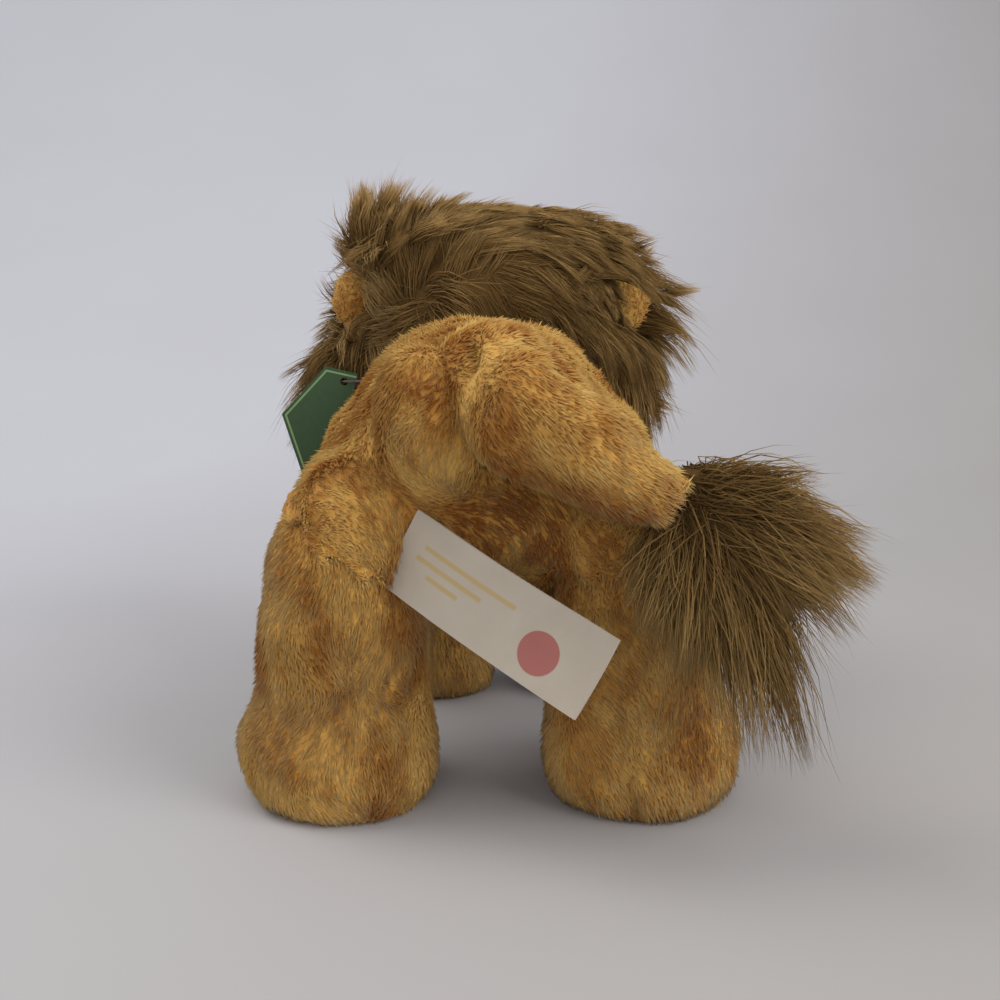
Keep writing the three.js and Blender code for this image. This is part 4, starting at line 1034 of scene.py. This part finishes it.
# The nose is a small stuffed triangle of dark brown satin, sewn to the top of the muzzle. Satin's
# long floats give it fine level lines and a broad shine.
satin = grained_material(
    "dark brown satin", "TexWave", {"Scale": 1.4 * per_mm, "Distortion": 1.0}, "#2a170c", "#4a2c19",
    {"Roughness": 0.38, "Sheen Weight": 0.3}, bump=0.4, bands_direction="Z")
nose = stuffed_skin("nose_satin", ["nose"], voxel=0.0004, rounding=8)
nose.data.materials.append(satin)
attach(nose, "head")
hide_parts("nose")

# The mouth is embroidered: short stitches of dark thread run down from the nose and part to the
# sides. The thread's plies show as slanting dark and light bands.
thread = grained_material(
    "twisted sewing thread", "TexWave", {"Scale": 0.9 * per_mm, "Distortion": 2.0}, "#20120a", "#4a3220",
    {"Roughness": 0.6, "Sheen Weight": 0.4}, bands_direction="DIAGONAL")


def on_face(x, z):
    """The place on the muzzle's cloth straight behind a point before the face."""
    place, _, _, _ = face_tree.ray_cast(Vector((x, muzzle_low.y - 0.02, z)), Vector((0, 1, 0)))
    return None if place is None else np.array(place)


lip_z = nose_low.z - 0.0065
smile_half_width = 0.0105
smile_drop = 0.0030
stitch_ends = [((0, nose_low.z + 0.0010), (0, nose_low.z - 0.0025)), ((0, nose_low.z - 0.0024), (0, lip_z))]
for sign in (1, -1):
    smile = [(sign * smile_half_width * share, lip_z - smile_drop * math.sin(math.pi * 0.75 * share))
             for share in np.linspace(0, 1, 5)]
    stitch_ends += list(zip(smile[:-1], smile[1:]))
stitches = []
for start, end in stitch_ends:
    ends = [on_face(mid_x + x, z) for x, z in (start, end)]
    if any(place is None for place in ends):
        continue
    steps = np.linspace(0, 1, 9)[:, None]
    line = ends[0] * (1 - steps) + ends[1] * steps
    line[:, 1] -= 0.0010 * np.sin(np.pi * steps[:, 0]) ** 0.5 + 0.0004
    stitches.append(line)
mouth = hairs("mouth_stitches", np.array(stitches), np.array([[0.0003] + [0.00055] * 6 + [0.0004]]),
              np.full(len(stitches), 0.5))
mouth.data.materials.append(thread)
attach(mouth, "head")

# The sewn-in label is one white woven ribbon doubled back on itself, with both ends in the seam of
# the left hip. Its white is painted a dull grey beige, as painted shade. Its threads show as a fine
# grid, drawn coarser than they are, and break up the print: three pale gold bars and a plain red round.
label_length = 0.070
label_width = 0.025
threads_along = 130
threads_across = 46
ribbon, tree = new_material("white woven ribbon")
lengthways = add_node(tree, "Attribute", attribute_name="lengthways")
crossways = add_node(tree, "Attribute", attribute_name="crossways")
outside = add_node(tree, "Attribute", attribute_name="outside")
warp = add_node(tree, "Math", {0: crossways, 1: 2 * math.pi * threads_across}, operation="MULTIPLY")
weft = add_node(tree, "Math", {0: lengthways, 1: 2 * math.pi * threads_along}, operation="MULTIPLY")
warp = add_node(tree, "Math", {0: warp}, operation="SINE")
weft = add_node(tree, "Math", {0: weft}, operation="SINE")
weave = add_node(tree, "Math", {0: warp, 1: weft}, operation="MULTIPLY")
ribbon_coords = add_node(tree, "TexCoord")
soil = add_node(tree, "TexNoise", {
    "Vector": ribbon_coords.outputs["Object"], "Scale": 0.09 * per_mm, "Detail": 4.0})
# Painted shade: the white ribbon is coloured a dull grey beige, mottled a little with soil.
ribbon_colour = add_node(tree, "Mix", {
    0: soil, 6: linear("#9d9385"), 7: linear("#aca498")}, data_type="RGBA")


def within(tree, value, low, high, soft):
    """One between two bounds and nought outside them, with soft ends."""
    middle = add_node(tree, "Math", {0: value, 1: (low + high) / 2}, operation="SUBTRACT")
    far = add_node(tree, "Math", {0: middle}, operation="ABSOLUTE")
    half = (high - low) / 2
    return add_node(tree, "MapRange", {"Value": far, "From Min": half + soft, "From Max": half - soft})


def printed(tree, ground, cover, ink):
    """The ground with an ink on it, broken a little by the weave, on the outside only."""
    worn = add_node(tree, "MapRange", {"Value": weave, "From Min": -1.0, "To Min": 0.55, "To Max": 0.95})
    seen = add_node(tree, "Math", {0: cover, 1: outside}, operation="MULTIPLY")
    share = add_node(tree, "Math", {0: seen, 1: worn}, operation="MULTIPLY")
    return add_node(tree, "Mix", {0: share, 6: ground, 7: linear(ink)}, data_type="RGBA")


bar_half = 0.028
for start, end, middle in ((0.07, 0.57, 0.32), (0.05, 0.42, 0.47), (0.14, 0.32, 0.61)):
    bar_long = within(tree, lengthways, start, end, soft=0.006)
    bar_wide = within(tree, crossways, middle - bar_half, middle + bar_half, soft=0.012)
    bar = add_node(tree, "Math", {0: bar_long, 1: bar_wide}, operation="MULTIPLY")
    ribbon_colour = printed(tree, ribbon_colour, bar, "#a58b4c")
round_at = (0.74, 0.61)
round_radius_mm = 6.25
round_soft_mm = 0.15
away_long = add_node(tree, "Math", {0: lengthways, 1: round_at[0]}, operation="SUBTRACT")
away_long = add_node(tree, "Math", {0: away_long, 1: label_length * per_mm}, operation="MULTIPLY")
away_wide = add_node(tree, "Math", {0: crossways, 1: round_at[1]}, operation="SUBTRACT")
away_wide = add_node(tree, "Math", {0: away_wide, 1: label_width * per_mm}, operation="MULTIPLY")
away_both = add_node(tree, "CombineXYZ", {0: away_long, 1: away_wide})
away_far = add_node(tree, "VectorMath", {0: away_both}, operation="LENGTH")
round_mark = add_node(tree, "MapRange", {
    "Value": away_far, "From Min": round_radius_mm + round_soft_mm,
    "From Max": round_radius_mm - round_soft_mm})
ribbon_colour = printed(tree, ribbon_colour, round_mark, "#8f1c20")
weave_bump = add_node(tree, "Bump", {"Height": weave, "Strength": 0.25, "Distance": 0.00012})
ribbon_shader = add_node(tree, "BsdfPrincipled", {
    "Base Color": ribbon_colour, "Roughness": 0.55, "Normal": weave_bump, "Sheen Weight": 0.2})
add_node(tree, "OutputMaterial", {"Surface": ribbon_shader})

label_root = np.array(joints["label_flap"]["pos_m"])
label_across = unit(np.array(joints["label_flap"]["axis"]))
label_points = points_of(frame["nodes"]["sewn_label"]) - label_root
label_points -= (label_points @ label_across)[:, None] * label_across
label_along = unit(label_points[np.linalg.norm(label_points, axis=1).argmax()])
label_face = np.cross(label_across, label_along)
label_bow = 0.003
ribbon_thickness = 0.00025
half_gap = 0.0005
seam_depth = 0.0035
rows_out = 70
outward = np.linspace(-seam_depth, label_length - half_gap, rows_out)
bend = np.linspace(math.pi / 2, -math.pi / 2, 9)[1:-1]
path = np.concatenate([
    np.stack([outward, np.full(rows_out, half_gap)], axis=1),
    np.stack([outward[-1] + half_gap * np.cos(bend), half_gap * np.sin(bend)], axis=1),
    np.stack([outward[::-1], np.full(rows_out, -half_gap)], axis=1)])
columns = 25
across_steps = np.linspace(-0.5, 0.5, columns)
reach, height = path[:, 0][:, None], path[:, 1][:, None]
share = np.clip(reach / label_length, 0, 1)
curve = label_bow * np.sin(math.pi * share) + 0.0006 * np.sin(share * 7 + across_steps[None] * 2.5) * share
curve = curve + 0.0012 * share ** 2 * (2 * across_steps[None]) ** 2
grid = label_root + reach[..., None] * label_along + (height + curve)[..., None] * label_face
grid = grid + (across_steps[None] * label_width)[..., None] * label_across
rows = len(path)
index = np.arange(rows * columns).reshape(rows, columns)
quads = np.stack([index[:-1, :-1], index[1:, :-1], index[1:, 1:], index[:-1, 1:]], axis=-1).reshape(-1, 4)
label = mesh_of("label_ribbon", grid.reshape(-1, 3), quads.ravel(), np.arange(len(quads)) * 4,
                lengthways=np.repeat(path[:, 0] / label_length, columns),
                crossways=np.tile(across_steps + 0.5, rows),
                outside=np.repeat(np.arange(rows) < rows_out, columns))
select_only(label)
modify(label, "SOLIDIFY", thickness=ribbon_thickness, offset=0)
with editing("SELECT"):
    bpy.ops.mesh.normals_make_consistent(inside=False)
bpy.ops.object.shade_smooth_by_angle(angle=math.radians(50))
label.data.materials.append(ribbon)
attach(label, "label")
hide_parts("sewn_label")

# The hang tag is a card folded once, half a hexagon on each leaf, dark green with a paler line
# printed inside its edge. The coating hides most of the board's fibres, and the ink lies flat on it.
card_green = grained_material(
    "dark green coated card", "TexNoise", {"Scale": 0.42 * per_mm, "Detail": 4.0}, "#1c3f20", "#28502a",
    {"Roughness": 0.4}, bump=0.15)
card_line = grained_material(
    "pale green printed line", "TexNoise", {"Scale": 0.9 * per_mm, "Detail": 3.0}, "#6d8f5c", "#83a472",
    {"Roughness": 0.4})
card = moulded("hang_tag", "tag_card")
card_tilt = math.radians(13)
card_out = np.array((math.cos(card_tilt), 0, math.sin(card_tilt)))
card_up = np.array((-math.sin(card_tilt), 0, math.cos(card_tilt)))
corners = points_of(card)
spine_at, point_at = (corners @ card_out).min(), (corners @ card_out).max()
foot_at, top_at = (corners @ card_up).min(), (corners @ card_up).max()
half_height = (top_at - foot_at) / 2
half_way = (top_at + foot_at) / 2
slant = np.hypot(half_height, (point_at - spine_at) / 2)
card_edges = [(card_up, top_at), (-card_up, -foot_at)]
for sign in (1, -1):
    slant_out = (half_height * card_out + sign * (point_at - spine_at) / 2 * card_up) / slant
    tip = point_at * card_out + half_way * card_up
    card_edges.append((slant_out, slant_out @ tip))
line_from, line_to = 0.0010, 0.0017
with editing():
    for way, distance in card_edges:
        for margin in (line_from, line_to):
            bpy.ops.mesh.select_all(action="SELECT")
            bpy.ops.mesh.bisect(plane_co=way * (distance - margin), plane_no=way)
card.data.materials.append(card_green)
card.data.materials.append(card_line)
for face in card.data.polygons:
    margin = min(distance - way @ np.array(face.center) for way, distance in card_edges)
    face.material_index = 1 if line_from < margin < line_to else 0
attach(card, "tag")
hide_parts("hang_tag")

# The tag hangs from a loop of the same dark thread, which passes through the hole in its leaves and
# is sewn to the torso's flank.
loop = moulded("tag_loop", "tag_thread", levels=1)
loop.data.materials.append(thread)
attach(loop, "tag")
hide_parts("tag_loop")

low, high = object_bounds()
